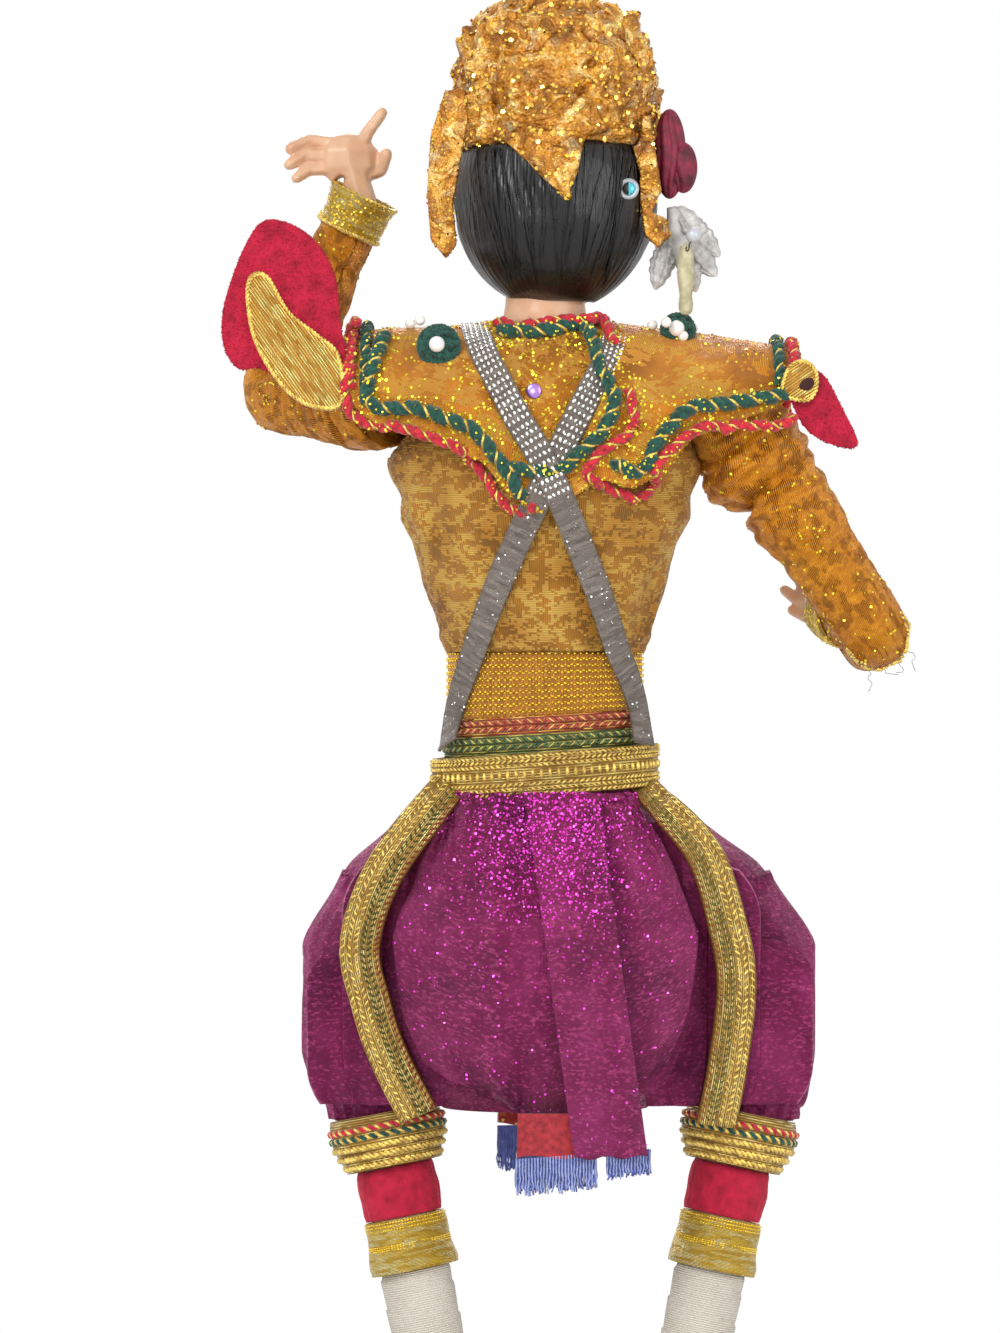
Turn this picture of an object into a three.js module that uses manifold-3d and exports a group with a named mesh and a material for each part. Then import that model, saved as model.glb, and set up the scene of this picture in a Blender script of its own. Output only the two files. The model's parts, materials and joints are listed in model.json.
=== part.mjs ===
// A classical court dancer doll on a turned wooden stand. Millimetres, +Z up, the doll faces -Y.
// The origin is the centre of the stand's underside. The doll's left is +X.
import * as THREE from 'three';
import { mergeVertices } from 'three/addons/utils/BufferGeometryUtils.js';
import Module from 'manifold-3d';

const wasm = await Module();
wasm.setup();

// Clearances between pieces that are sewn, glued or wound on each other
const gap = 0.3;
const clothThickness = 0.9;

// Points round the trunk, the same on every layer so that their flats lie on each other
const trunkSides = 24;

// Stand
const standRadius = 47.5;
const standHeight = 14;
const pegRadius = 1.2;
const pegDepth = 11;
const pegReach = 14;

// Heights of the figure, from the stand's top upwards
const soleToAnkle = 8;
const soleToKnee = 91;
const kneeToBelt = 56.2;
const beltHeight = 7.4;
const braidHeight = 2.7;
const ribbonHeight = 10;
const ribbonToChest = 33.8;
const chestToShoulder = 8;
const shoulderToNeck = 13.5;
const neckHeight = 9;
const headOverNeck = 13.4;

// Half widths and half depths of the trunk
const hipHalfWidth = 28.5;
const hipHalfDepth = 19;
const beltHalfWidth = 17.2;
const beltHalfDepth = 13;
const waistHalfWidth = 15.3;
const waistHalfDepth = 11.6;
const chestHalfWidth = 26.3;
const chestHalfDepth = 14.6;
const neckRadius = 7.2;
const spineRadius = 1.6;
const spineTail = 20;

// Legs
const calfRadius = 6.1;
const ankleRadius = 4.6;
const footLength = 31;
const footHalfWidth = 6.2;
const footTurn = 52;
const ankletHeight = 9;
const legBandHeight = 8.4;
const trouserCuffHeight = 9;
const legSpread = {
  left: { ankle: 10.3, knee: 27.2 },
  right: { ankle: -15.7, knee: -33.6 },
};
const kneeForward = -5;
const ankleBack = 2;

// Head and headdress
const headCentreX = -1.7;
const headHalfWidth = 15.9;
const headHalfDepth = 17.6;
const headHalfHeight = 19.5;
const headdressRise = 26;
const headdressHalfWidth = 17.8;
const spireHeight = 46;
const spireRadius = 7;
const hairThickness = 1.5;

// Arms: joint centres and sleeve radii
const shoulderLeft = new THREE.Vector3(27.9, 0, 227.6);
const elbowLeft = new THREE.Vector3(48.2, -27, 230.4);
const wristLeft = new THREE.Vector3(32.6, -22, 262.4);
const shoulderRight = new THREE.Vector3(-31, 0, 225.6);
const elbowRight = new THREE.Vector3(-57.2, -2, 187);
const wristRight = new THREE.Vector3(-52.8, -29, 192.4);
const sleeveShoulderRadius = 7.6;
const sleeveElbowRadius = 6.3;
const sleeveWristRadius = 4.6;
const cuffRadius = 5.6;
const cuffHeight = 8;
const wristRadius = 2.9;

// Cape over the shoulders
const capeReach = { left: 34, right: -43 };
const capeShoulderDepth = 13;

// Swings of the joints, in degrees, that the pieces are relieved for
const elbowSwing = [-20, -10, 0, 10, 20];
const wristSwing = [-18, 0, 18];

// Heights worked out from the lengths above
const soleZ = standHeight;
const ankleZ = soleZ + soleToAnkle;
const kneeZ = soleZ + soleToKnee;
const beltZ = kneeZ + kneeToBelt;
const greenZ = beltZ + beltHeight + gap;
const redZ = greenZ + braidHeight + gap;
const ribbonZ = redZ + braidHeight + gap;
const ribbonTopZ = ribbonZ + ribbonHeight;
const chestZ = ribbonTopZ + ribbonToChest;
const shoulderZ = chestZ + chestToShoulder;
const neckZ = shoulderZ + shoulderToNeck;
const headZ = neckZ + neckHeight + headOverNeck;
const rimZ = headZ + 0.4 * headHalfHeight;
const headCentre = new THREE.Vector3(headCentreX, -1, headZ);

const colours = {
  wood: 0x6b3a1e, steel: 0x8a8a88, flesh: 0xd9b08c, white: 0xd8cfbe, gold: 0xc9a24a, red: 0xc21f35,
  purple: 0x7d1a5c, blue: 0x3f4f9c, orange: 0xc9822b, green: 0x11523a, black: 0x0c0d12, silver: 0xcfcfcb,
  cream: 0xd9d0b0, wine: 0x6d2138,
};

const doll = new THREE.Group();

function finish(colour, roughness, metalness) {
  return new THREE.MeshStandardMaterial({ color: colour, roughness, metalness });
}

const finishes = {
  wood: finish(colours.wood, 0.45, 0),
  steel: finish(colours.steel, 0.35, 1),
  flesh: finish(colours.flesh, 0.55, 0),
  wrap: finish(colours.white, 0.9, 0),
  goldCloth: finish(colours.gold, 0.4, 0.6),
  goldRelief: finish(colours.gold, 0.35, 0.7),
  velvet: finish(colours.red, 0.95, 0),
  purple: finish(colours.purple, 0.5, 0.3),
  fringe: finish(colours.blue, 0.8, 0),
  brocade: finish(colours.orange, 0.5, 0.3),
  greenYarn: finish(colours.green, 0.9, 0),
  redYarn: finish(colours.red, 0.9, 0),
  hair: finish(colours.black, 0.3, 0),
  silver: finish(colours.silver, 0.35, 0.8),
  petal: finish(colours.white, 0.7, 0),
  bud: finish(colours.cream, 0.6, 0),
  flower: finish(colours.wine, 0.8, 0),
};

function add(name, geometry, material, parent = doll) {
  const mesh = new THREE.Mesh(geometry, material);
  mesh.name = name;
  parent.add(mesh);
  return mesh;
}

// Geometry helpers
function faceOutwards(positions, indices) {
  let volume = 0;
  const corner = (i) => new THREE.Vector3().fromArray(positions, 3 * i);
  for (let i = 0; i < indices.length; i += 3) {
    const [a, b, c] = [corner(indices[i]), corner(indices[i + 1]), corner(indices[i + 2])];
    volume += a.dot(b.cross(c));
  }
  if (volume > 0) return indices;
  const flipped = [];
  for (let i = 0; i < indices.length; i += 3) flipped.push(indices[i], indices[i + 2], indices[i + 1]);
  return flipped;
}

function solidOf(positions, indices) {
  const geometry = new THREE.BufferGeometry();
  geometry.setAttribute('position', new THREE.Float32BufferAttribute(positions, 3));
  geometry.setIndex(faceOutwards(positions, indices));
  return geometry;
}

// Rings of points, stacked along a form. Closed rings of rings make a band round the body.
function ringSolid(rings, closed = false) {
  const count = rings[0].length;
  const positions = [];
  const indices = [];
  rings.forEach((ring) => ring.forEach((point) => positions.push(point.x, point.y, point.z)));
  const last = closed ? rings.length : rings.length - 1;
  for (let i = 0; i < last; i += 1) {
    const next = (i + 1) % rings.length;
    for (let j = 0; j < count; j += 1) {
      const k = (j + 1) % count;
      const corners = [i * count + j, i * count + k, next * count + k, next * count + j];
      indices.push(corners[0], corners[1], corners[2], corners[0], corners[2], corners[3]);
    }
  }
  if (!closed) {
    [0, rings.length - 1].forEach((end) => {
      const centre = new THREE.Vector3();
      rings[end].forEach((point) => centre.addScaledVector(point, 1 / count));
      const hub = positions.length / 3;
      positions.push(centre.x, centre.y, centre.z);
      for (let j = 0; j < count; j += 1) {
        const pair = [end * count + j, end * count + ((j + 1) % count)];
        if (end === 0) indices.push(pair[1], pair[0], hub);
        else indices.push(pair[0], pair[1], hub);
      }
    });
  }
  return solidOf(positions, indices);
}

// A sheet of cloth or braid with its own thickness, from its middle surface place(u, v)
function sheetSolid(place, columns, rows, thickness) {
  const positions = [];
  const indices = [];
  const small = 0.001;
  const across = columns + 1;
  const layer = across * (rows + 1);
  [0.5, -0.5].forEach((side) => {
    for (let j = 0; j <= rows; j += 1) {
      for (let i = 0; i <= columns; i += 1) {
        const u = i / columns;
        const v = j / rows;
        const alongU = place(u + small, v).sub(place(u - small, v));
        const alongV = place(u, v + small).sub(place(u, v - small));
        const normal = alongU.cross(alongV).normalize();
        const point = place(u, v).addScaledVector(normal, side * thickness);
        positions.push(point.x, point.y, point.z);
      }
    }
  });
  const quad = (a, b, c, d) => indices.push(a, b, c, a, c, d);
  for (let j = 0; j < rows; j += 1) {
    for (let i = 0; i < columns; i += 1) {
      const a = j * across + i;
      quad(a, a + 1, a + across + 1, a + across);
      quad(layer + a, layer + a + across, layer + a + across + 1, layer + a + 1);
    }
  }
  for (let i = 0; i < columns; i += 1) {
    const far = rows * across + i;
    quad(i + 1, i, layer + i, layer + i + 1);
    quad(far, far + 1, layer + far + 1, layer + far);
  }
  for (let j = 0; j < rows; j += 1) {
    const near = j * across;
    const far = near + columns;
    quad(near, near + across, layer + near + across, layer + near);
    quad(far + across, far, layer + far, layer + far + across);
  }
  return solidOf(positions, indices);
}

// A turned form round +Z, from [radius, height] pairs that start and end on the axis or close
function turned(profile, sides) {
  const points = profile.map(([radius, height]) => new THREE.Vector2(radius, height));
  const geometry = new THREE.LatheGeometry(points, sides);
  return geometry.rotateX(Math.PI / 2);
}

function hollowTurned(profile, sides) {
  return turned([...profile, profile[0]], sides);
}

// Sets a form that runs along +Z from the origin onto the line from one point to another
function setAlong(geometry, from, to) {
  const direction = to.clone().sub(from).normalize();
  const turn = new THREE.Quaternion().setFromUnitVectors(new THREE.Vector3(0, 0, 1), direction);
  return geometry.clone().applyQuaternion(turn).translate(from.x, from.y, from.z);
}

function towards(from, to, distance) {
  return from.clone().add(to.clone().sub(from).setLength(distance));
}

// A value that follows rows of [place, value, ...] smoothly
function between(rows, place, column = 1) {
  if (place <= rows[0][0]) return rows[0][column];
  for (let i = 1; i < rows.length; i += 1) {
    if (place <= rows[i][0]) {
      const span = (place - rows[i - 1][0]) / (rows[i][0] - rows[i - 1][0]);
      const ease = 0.5 * span + 0.5 * THREE.MathUtils.smoothstep(span, 0, 1);
      return THREE.MathUtils.lerp(rows[i - 1][column], rows[i][column], ease);
    }
  }
  return rows[rows.length - 1][column];
}

// Solids for cutting and joining
function bare(geometry) {
  const copy = geometry.clone();
  Object.keys(copy.attributes).forEach((name) => {
    if (name !== 'position') copy.deleteAttribute(name);
  });
  return mergeVertices(copy, 1e-4);
}

function toManifold(geometry) {
  const merged = bare(geometry);
  const mesh = new wasm.Mesh({
    numProp: 3,
    vertProperties: new Float32Array(merged.attributes.position.array),
    triVerts: new Uint32Array(merged.index.array),
  });
  mesh.merge();
  return new wasm.Manifold(mesh);
}

function fromManifold(manifold) {
  const mesh = manifold.getMesh();
  const geometry = new THREE.BufferGeometry();
  geometry.setAttribute('position', new THREE.BufferAttribute(new Float32Array(mesh.vertProperties), 3));
  geometry.setIndex(new THREE.BufferAttribute(new Uint32Array(mesh.triVerts), 1));
  return geometry;
}

function cut(geometry, cutters) {
  const whole = toManifold(geometry);
  return fromManifold(cutters.reduce((solid, cutter) => solid.subtract(toManifold(cutter)), whole));
}

function join(pieces) {
  return fromManifold(pieces.map(toManifold).reduce((solid, piece) => solid.add(piece)));
}

function common(geometry, other) {
  return fromManifold(toManifold(geometry).intersect(toManifold(other)));
}

// The same form, larger all round by a clearance
function grown(geometry, clearance) {
  const merged = bare(geometry);
  merged.computeVertexNormals();
  const { position, normal } = merged.attributes;
  for (let i = 0; i < position.count; i += 1) {
    const point = new THREE.Vector3().fromBufferAttribute(position, i);
    point.addScaledVector(new THREE.Vector3().fromBufferAttribute(normal, i), clearance);
    position.setXYZ(i, point.x, point.y, point.z);
  }
  return merged;
}

// Neighbours as a moving piece meets them, turned back by each angle of its swing
function sweptNeighbour(geometry, pivot, axis, degrees) {
  const large = grown(geometry, gap);
  return degrees.map((angle) => {
    const turn = new THREE.Quaternion().setFromAxisAngle(axis, THREE.MathUtils.degToRad(-angle));
    const copy = large.clone().translate(-pivot.x, -pivot.y, -pivot.z);
    return copy.applyQuaternion(turn).translate(pivot.x, pivot.y, pivot.z);
  });
}

function ellipsoid(centre, radii, across = 20, down = 14) {
  const geometry = new THREE.SphereGeometry(1, across, down).rotateX(Math.PI / 2);
  return geometry.scale(radii.x, radii.y, radii.z).translate(centre.x, centre.y, centre.z);
}

function extruded(points, thickness) {
  const shape = new THREE.Shape(points.map(([x, z]) => new THREE.Vector2(x, z)));
  return new THREE.ExtrudeGeometry(shape, { depth: thickness, bevelEnabled: false }).rotateX(Math.PI / 2);
}

// Stand: a turned disc with a cove under its rim, drilled for the two leg pegs
function standGeometry() {
  const profile = [
    [0, 0], [standRadius, 0], [standRadius, 3.2], [standRadius - 1.4, 4.6], [standRadius - 3.6, 5.4],
    [standRadius - 4.6, 7.4], [standRadius - 4.2, 9.6], [standRadius - 5, 12.6],
    [standRadius - 7, standHeight], [0, standHeight],
  ];
  const drills = ['left', 'right'].map((side) => {
    const radius = pegRadius + gap;
    const drill = new THREE.CylinderGeometry(radius, radius, 2 * pegDepth, 12).rotateX(Math.PI / 2);
    return drill.translate(legSpread[side].ankle, ankleBack, standHeight);
  });
  return cut(turned(profile, 30), drills);
}
add('stand', standGeometry(), finishes.wood);

// Feet, pegs and shins
function footGeometry(side) {
  const sign = side === 'left' ? 1 : -1;
  const heel = 0.27 * footLength;
  const stations = [
    [0, 0.45, 0.55], [0.08, 0.72, 0.85], [0.25, 0.78, 1.05], [0.42, 0.8, 0.86], [0.6, 0.95, 0.6],
    [0.8, 1, 0.42], [0.93, 0.85, 0.3], [1, 0.5, 0.2],
  ];
  const rings = stations.map(([place, width, height]) => {
    const ring = [];
    for (let j = 0; j < 10; j += 1) {
      const angle = (j / 10) * 2 * Math.PI;
      const rise = 0.5 + 0.5 * Math.sin(angle);
      const x = footHalfWidth * width * Math.cos(angle) * (1 - 0.25 * rise);
      ring.push(new THREE.Vector3(x, heel - place * footLength, soleToAnkle * height * rise));
    }
    return ring;
  });
  const foot = ringSolid(rings).rotateZ(THREE.MathUtils.degToRad(sign * footTurn));
  foot.translate(legSpread[side].ankle, ankleBack, soleZ + 0.2);
  const drill = pegGeometry(side, gap);
  return cut(foot, [drill, grown(shinGeometry(side), gap)]);
}

function pegGeometry(side, clearance = 0) {
  const radius = pegRadius + clearance;
  const length = pegDepth + pegReach + 2 * clearance;
  const peg = new THREE.CylinderGeometry(radius, radius, length, 12).rotateX(Math.PI / 2);
  return peg.translate(legSpread[side].ankle, ankleBack, soleZ + (pegReach - pegDepth) / 2 + clearance / 2);
}

function legLine(side) {
  const ankle = new THREE.Vector3(legSpread[side].ankle, ankleBack, ankleZ - 1.2);
  const knee = new THREE.Vector3(legSpread[side].knee, kneeForward, kneeZ);
  return { ankle, knee, length: ankle.distanceTo(knee) };
}

function shinGeometry(side) {
  const { ankle, knee, length } = legLine(side);
  const inner = calfRadius - 0.7;
  const profile = [
    [0, 0], [ankleRadius * 0.8, 0], [ankleRadius, 1.2], [ankleRadius + 0.1, 0.12 * length],
    [calfRadius - 0.2, 0.4 * length], [calfRadius, 0.6 * length],
    [calfRadius, bandPlaces(side).anklet - gap], [inner, bandPlaces(side).anklet], [inner, length],
    [0, length],
  ];
  return setAlong(turned(profile, 15), ankle, knee);
}

// Where the wound bands sit along the shin, from its ankle end
function bandPlaces(side) {
  const { length } = legLine(side);
  const cuff = length - trouserCuffHeight + 1.5;
  const band = cuff - legBandHeight - gap;
  return { cuff, band, anklet: band - ankletHeight - gap };
}

// Lower radius, upper radius and crown of each wound band
const wound = { anklet: [7.4, 6.9, 0.2], band: [6.7, 6.7, 0.4], cuff: [7.6, 9.2, 0.3] };

function ringAlongShin(side, start, height, low, high, crown) {
  const { ankle, knee } = legLine(side);
  const profile = [
    [calfRadius - 0.4, start], [low - 0.3, start], [low, start + 0.5],
    [high + crown, start + 0.55 * height], [high, start + height - 0.4], [high - 0.3, start + height],
    [calfRadius - 0.4, start + height],
  ];
  return setAlong(hollowTurned(profile, 15), ankle, knee);
}

function trouserCuff(side) {
  return ringAlongShin(side, bandPlaces(side).cuff, trouserCuffHeight, ...wound.cuff);
}

['left', 'right'].forEach((side) => {
  const places = bandPlaces(side);
  add(`foot_${side}`, footGeometry(side), finishes.flesh);
  add(`leg_peg_${side}`, pegGeometry(side), finishes.steel);
  add(`shin_${side}`, cut(shinGeometry(side), [pegGeometry(side, gap)]), finishes.wrap);
  const anklet = ringAlongShin(side, places.anklet, ankletHeight, ...wound.anklet);
  add(`anklet_${side}`, anklet, finishes.goldCloth);
  const band = ringAlongShin(side, places.band, legBandHeight, ...wound.band);
  add(`leg_band_${side}`, band, finishes.velvet);
  add(`trouser_cuff_${side}`, trouserCuff(side), finishes.goldCloth);
});

// Seat, hip cloth and trousers. Rows: height, half width, half depth.
const seatRows = [
  [kneeZ + 3, 0.62 * hipHalfWidth, 0.6 * hipHalfDepth],
  [kneeZ + 8, 0.84 * hipHalfWidth, 0.8 * hipHalfDepth],
  [kneeZ + 20, hipHalfWidth, 0.98 * hipHalfDepth],
  [kneeZ + 32, hipHalfWidth, hipHalfDepth],
  [kneeZ + 44, 0.86 * hipHalfWidth, 0.92 * hipHalfDepth],
  [beltZ, beltHalfWidth + 0.6, beltHalfDepth + 0.4],
  [beltZ + beltHeight, beltHalfWidth - 0.4, beltHalfDepth - 0.4],
];

function seatGeometry(clearance = 0, top = beltZ + beltHeight) {
  const rings = [];
  const steps = 8;
  for (let i = 0; i <= steps; i += 1) {
    const z = THREE.MathUtils.lerp(seatRows[0][0] - clearance, top, i / steps);
    const ring = [];
    for (let j = 0; j < trunkSides; j += 1) {
      const angle = (j / trunkSides) * 2 * Math.PI;
      const x = (between(seatRows, z, 1) + clearance) * Math.cos(angle);
      ring.push(new THREE.Vector3(x, (between(seatRows, z, 2) + clearance) * Math.sin(angle), z));
    }
    rings.push(ring);
  }
  return ringSolid(rings);
}

// How far the cloth stands off the seat, with its hanging folds
const clothStandOff = 1.5;
const foldDepth = 0.7;

function seatSurface(x, z, standOff) {
  const halfWidth = between(seatRows, z, 1) + standOff;
  const halfDepth = between(seatRows, z, 2) + standOff;
  return halfDepth * Math.sqrt(Math.max(0.02, 1 - (x / halfWidth) ** 2));
}

const hipClothEdge = [
  [kneeZ + 3, 0.55], [kneeZ + 12, 0.74], [kneeZ + 32, 0.83], [beltZ - 1, 0.8],
];

function hipClothGeometry() {
  const place = (u, v) => {
    const across = 2 * u - 1;
    const hem = kneeZ + 1.5 + 9 * across ** 2;
    const z = THREE.MathUtils.lerp(hem, beltZ - 0.6, v);
    const x = across * between(hipClothEdge, z) * (between(seatRows, z, 1) + clothStandOff);
    const fold = foldDepth * (1 - v) * Math.cos(9 * across * Math.PI * 0.5) * (1 - across ** 4);
    return new THREE.Vector3(x, seatSurface(x, z, clothStandOff + fold), z);
  };
  return sheetSolid(place, 16, 7, clothThickness);
}

// Trouser legs. Rows: height, centre x, half width.
const trouserRows = {
  left: [
    [kneeZ + 1.5, 28, 9], [kneeZ + 12, 29.2, 11], [kneeZ + 30, 28.6, 11.6], [kneeZ + 42, 23, 11],
    [kneeZ + 52, 14, 9.5],
  ],
  right: [
    [kneeZ + 1.5, -34.6, 9], [kneeZ + 12, -33.8, 11.2], [kneeZ + 30, -33, 12.3],
    [kneeZ + 42, -26, 12], [kneeZ + 52, -15, 10],
  ],
};
const trouserDepth = 9;
const trouserBack = -6.4;

function trouserGeometry(side) {
  const rows = trouserRows[side];
  const rings = [];
  const steps = 7;
  const sides = 18;
  for (let i = 0; i <= steps; i += 1) {
    const z = THREE.MathUtils.lerp(rows[0][0], rows[rows.length - 1][0], i / steps);
    const ring = [];
    for (let j = 0; j < sides; j += 1) {
      const angle = (j / sides) * 2 * Math.PI;
      const fold = 1 + 0.035 * Math.cos(6 * angle);
      const x = between(rows, z, 1) + between(rows, z, 2) * Math.cos(angle) * fold;
      ring.push(new THREE.Vector3(x, trouserBack + trouserDepth * Math.sin(angle) * fold, z));
    }
    rings.push(ring);
  }
  const inside = [seatGeometry(gap), grown(shinGeometry(side), gap), grown(trouserCuff(side), gap)];
  return cut(ringSolid(rings), inside);
}

// Pleats of the hip cloth, pulled out at each side in steps. Each: inner x, outer x, top height.
const pleatBack = 3.2;
const pleatThickness = 1.5;
const pleatSteps = {
  left: [[19, 27.4, 52], [23, 34, 45.6], [28, 40, 31]],
  right: [[-19, -27, 52], [-24, -36, 45], [-30, -45, 32.6]],
};
const pleatBottom = 3.6;

function pleatsGeometry(side) {
  const plates = pleatSteps[side].map(([inner, outer, top], index) => {
    const out = Math.sign(outer);
    const outline = [
      [inner, kneeZ + pleatBottom + 9], [inner, kneeZ + top - 2], [inner + out * 2, kneeZ + top],
      [outer - out * 2.4, kneeZ + top - 1.2], [outer, kneeZ + top - 5],
      [outer + out * 0.3, kneeZ + 0.5 * top], [outer - out * 1.2, kneeZ + pleatBottom],
      [outer - out * 6, kneeZ + pleatBottom + 1],
    ];
    const plate = extruded(outline, pleatThickness + 0.4);
    return plate.translate(0, pleatBack + pleatThickness * (3 - index), 0);
  });
  return cut(join(plates), [seatGeometry(gap)]);
}

// Gold braid strips down the edges of the hip cloth. Points: x and height above the knee.
const stripWidth = 8;
const stripLean = 0.6;
const stripPaths = {
  left: [[18.5, 55], [27.2, 43.2], [31.1, 31.3], [29.2, 21.1], [26.4, 12.6], [21.3, 2.4]],
  right: [[-18.8, 55.2], [-26.4, 46.6], [-30.4, 34.7], [-32, 24.5], [-30.6, 11], [-28.6, 0.6]],
};
const stripBack = {
  left: [[0, 14.8], [0.25, 13.4], [0.5, 11.6], [1, 9.6]],
  right: [[0, 14.2], [0.25, 12], [0.5, 10.2], [1, 8.6]],
};

function stripGeometry(side) {
  const out = side === 'left' ? 1 : -1;
  const points = stripPaths[side].map(([x, rise]) => new THREE.Vector3(x, 0, kneeZ + rise));
  const path = new THREE.CatmullRomCurve3(points);
  const place = (u, v) => {
    const t = THREE.MathUtils.clamp(u, 0, 1);
    const point = path.getPoint(t);
    const along = path.getTangent(t);
    const across = new THREE.Vector3(Math.abs(along.z) * out, 0, along.x * out * Math.sign(along.z));
    const offset = (v - 0.5) * stripWidth;
    point.addScaledVector(across, offset * Math.cos(stripLean));
    point.y = between(stripBack[side], t) - offset * Math.sin(stripLean);
    return point.addScaledVector(along, 1e-3 * (u - t));
  };
  return sheetSolid(place, 18, 2, clothThickness);
}

const seat = seatGeometry();
const spineFootZ = beltZ - spineTail;
const spineTopZ = neckZ + neckHeight;
const spine = new THREE.CylinderGeometry(spineRadius, spineRadius, spineTopZ - spineFootZ, 12);
spine.rotateX(Math.PI / 2).translate(0, 0, (spineTopZ + spineFootZ) / 2);
const spineHole = grown(spine, gap);
add('spine_rod', spine, finishes.steel);
add('seat_core', cut(seat, [spineHole]), finishes.purple);
add('hip_cloth', cut(hipClothGeometry(), [seatGeometry(gap)]), finishes.purple);
['left', 'right'].forEach((side) => {
  const strip = stripGeometry(side);
  const cloth = grown(hipClothGeometry(), gap);
  add(`trouser_leg_${side}`, cut(trouserGeometry(side), [cloth]), finishes.purple);
  add(`side_pleats_${side}`, cut(pleatsGeometry(side), [cloth, grown(strip, gap)]), finishes.purple);
  add(`edge_strip_${side}`, cut(strip, [cloth]), finishes.goldCloth);
});

// Rear flap with its red lining and blue fringe, and the front panel
const fringeLength = 8.2;
const fringeHeader = 1.6;
const flapPath = { top: [-8.5, 3.5], bottom: [-16.6, -4.6] };
const flapBottomZ = kneeZ - 3.2;
const liningPath = { top: [-13, 3], bottom: [-16, 4.9] };
const liningStandOff = 3.4;
const flapStandOff = liningStandOff + clothThickness + gap + 0.1;
const panelPath = { top: [-6, 6], bottom: [-8, 8] };
const panelBottomZ = kneeZ - 2;
const panelStandOff = 2;
const panelThickness = 1.4;
const clothTopZ = beltZ - 0.6;
const fullestZ = kneeZ + 22;
const liningTopZ = kneeZ + 4;

// A strip that hangs down the seat. Spans: left and right x at its top and bottom.
function hanging({ top, bottom, heights, standOff, cells, thickness = clothThickness, front = 1 }) {
  const place = (u, v) => {
    const z = THREE.MathUtils.lerp(heights[0], heights[1], v);
    const left = THREE.MathUtils.lerp(bottom[0], top[0], v);
    const right = THREE.MathUtils.lerp(bottom[1], top[1], v);
    const x = THREE.MathUtils.lerp(left, right, u);
    const widest = Math.max(z, fullestZ);
    return new THREE.Vector3(x, front * seatSurface(x, widest, standOff), z);
  };
  return sheetSolid(place, ...cells, thickness);
}

function fringeGeometry({ span, topZ, standOff, strands, front = 1 }) {
  const pitch = (span[1] - span[0]) / strands;
  const heights = [topZ - fringeHeader, topZ];
  const pieces = [hanging({ top: span, bottom: span, heights, standOff, cells: [8, 1], front })];
  const hidden = 0.75 * fringeHeader;
  const length = fringeLength - hidden;
  for (let i = 0; i < strands; i += 1) {
    const x = span[0] + (i + 0.5) * pitch;
    const y = front * seatSurface(x, fullestZ, standOff);
    const strand = new THREE.BoxGeometry(0.72 * pitch, 0.7 * clothThickness, length);
    pieces.push(strand.translate(x, y, topZ - hidden - length / 2));
  }
  return join(pieces);
}

add('rear_flap', hanging({
  ...flapPath, heights: [flapBottomZ, clothTopZ], standOff: flapStandOff, cells: [6, 7],
}), finishes.purple);
add('flap_lining', hanging({
  ...liningPath, heights: [flapBottomZ, liningTopZ], standOff: liningStandOff, cells: [6, 2],
}), finishes.velvet);
add('rear_fringe', fringeGeometry({
  span: liningPath.bottom, topZ: flapBottomZ - gap, standOff: liningStandOff, strands: 18,
}), finishes.fringe);
add('front_panel', hanging({
  ...panelPath, heights: [panelBottomZ, clothTopZ], standOff: panelStandOff, cells: [4, 8],
  thickness: panelThickness, front: -1,
}), finishes.brocade);
add('front_fringe', fringeGeometry({
  span: panelPath.bottom, topZ: panelBottomZ - gap, standOff: panelStandOff, strands: 14, front: -1,
}), finishes.fringe);

// Bands round the waist
function waistBand(low, height, halfWidth, halfDepth, wall, crown) {
  const rings = [];
  for (let i = 0; i < trunkSides; i += 1) {
    const angle = (i / trunkSides) * 2 * Math.PI;
    const section = [
      [0, 0], [wall - 0.2, 0], [wall + crown, 0.3], [wall + crown, 0.7], [wall - 0.2, 1], [0, 1],
    ];
    rings.push(section.map(([out, rise]) => {
      const x = (halfWidth + out) * Math.cos(angle);
      return new THREE.Vector3(x, (halfDepth + out) * Math.sin(angle), low + rise * height);
    }));
  }
  return ringSolid(rings, true);
}

const beltBand = waistBand(beltZ, beltHeight, beltHalfWidth + 0.9, beltHalfDepth + 0.9, 1.1, 0.4);
add('belt', cut(beltBand, [seatGeometry(gap)]), finishes.goldCloth);
const bandInside = [waistHalfWidth + gap, waistHalfDepth + gap];
add('green_braid', waistBand(greenZ, braidHeight, ...bandInside, 2, 0.15), finishes.greenYarn);
add('red_braid', waistBand(redZ, braidHeight, ...bandInside, 1.8, 0.15), finishes.redYarn);
add('waist_ribbon', waistBand(ribbonZ, ribbonHeight, ...bandInside, 1.2, 0.1), finishes.goldCloth);

// Jacket body. Rows: height, half width, half depth.
const jacketRows = [
  [greenZ - gap / 2, waistHalfWidth, waistHalfDepth],
  [ribbonTopZ + gap, waistHalfWidth, waistHalfDepth],
  [ribbonTopZ + 1, waistHalfWidth + 2.1, waistHalfDepth + 1.4],
  [ribbonTopZ + 14, waistHalfWidth + 6, waistHalfDepth + 2.4],
  [ribbonTopZ + 23, waistHalfWidth + 9, waistHalfDepth + 2.9],
  [chestZ, chestHalfWidth, chestHalfDepth],
  [shoulderZ, chestHalfWidth - 3, chestHalfDepth - 2.6],
  [shoulderZ + 6.4, chestHalfWidth - 11, chestHalfDepth - 5],
  [neckZ - 2, neckRadius + 1.6, neckRadius + 0.9],
  [neckZ, neckRadius + 0.4, neckRadius + 0.4],
];

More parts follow.
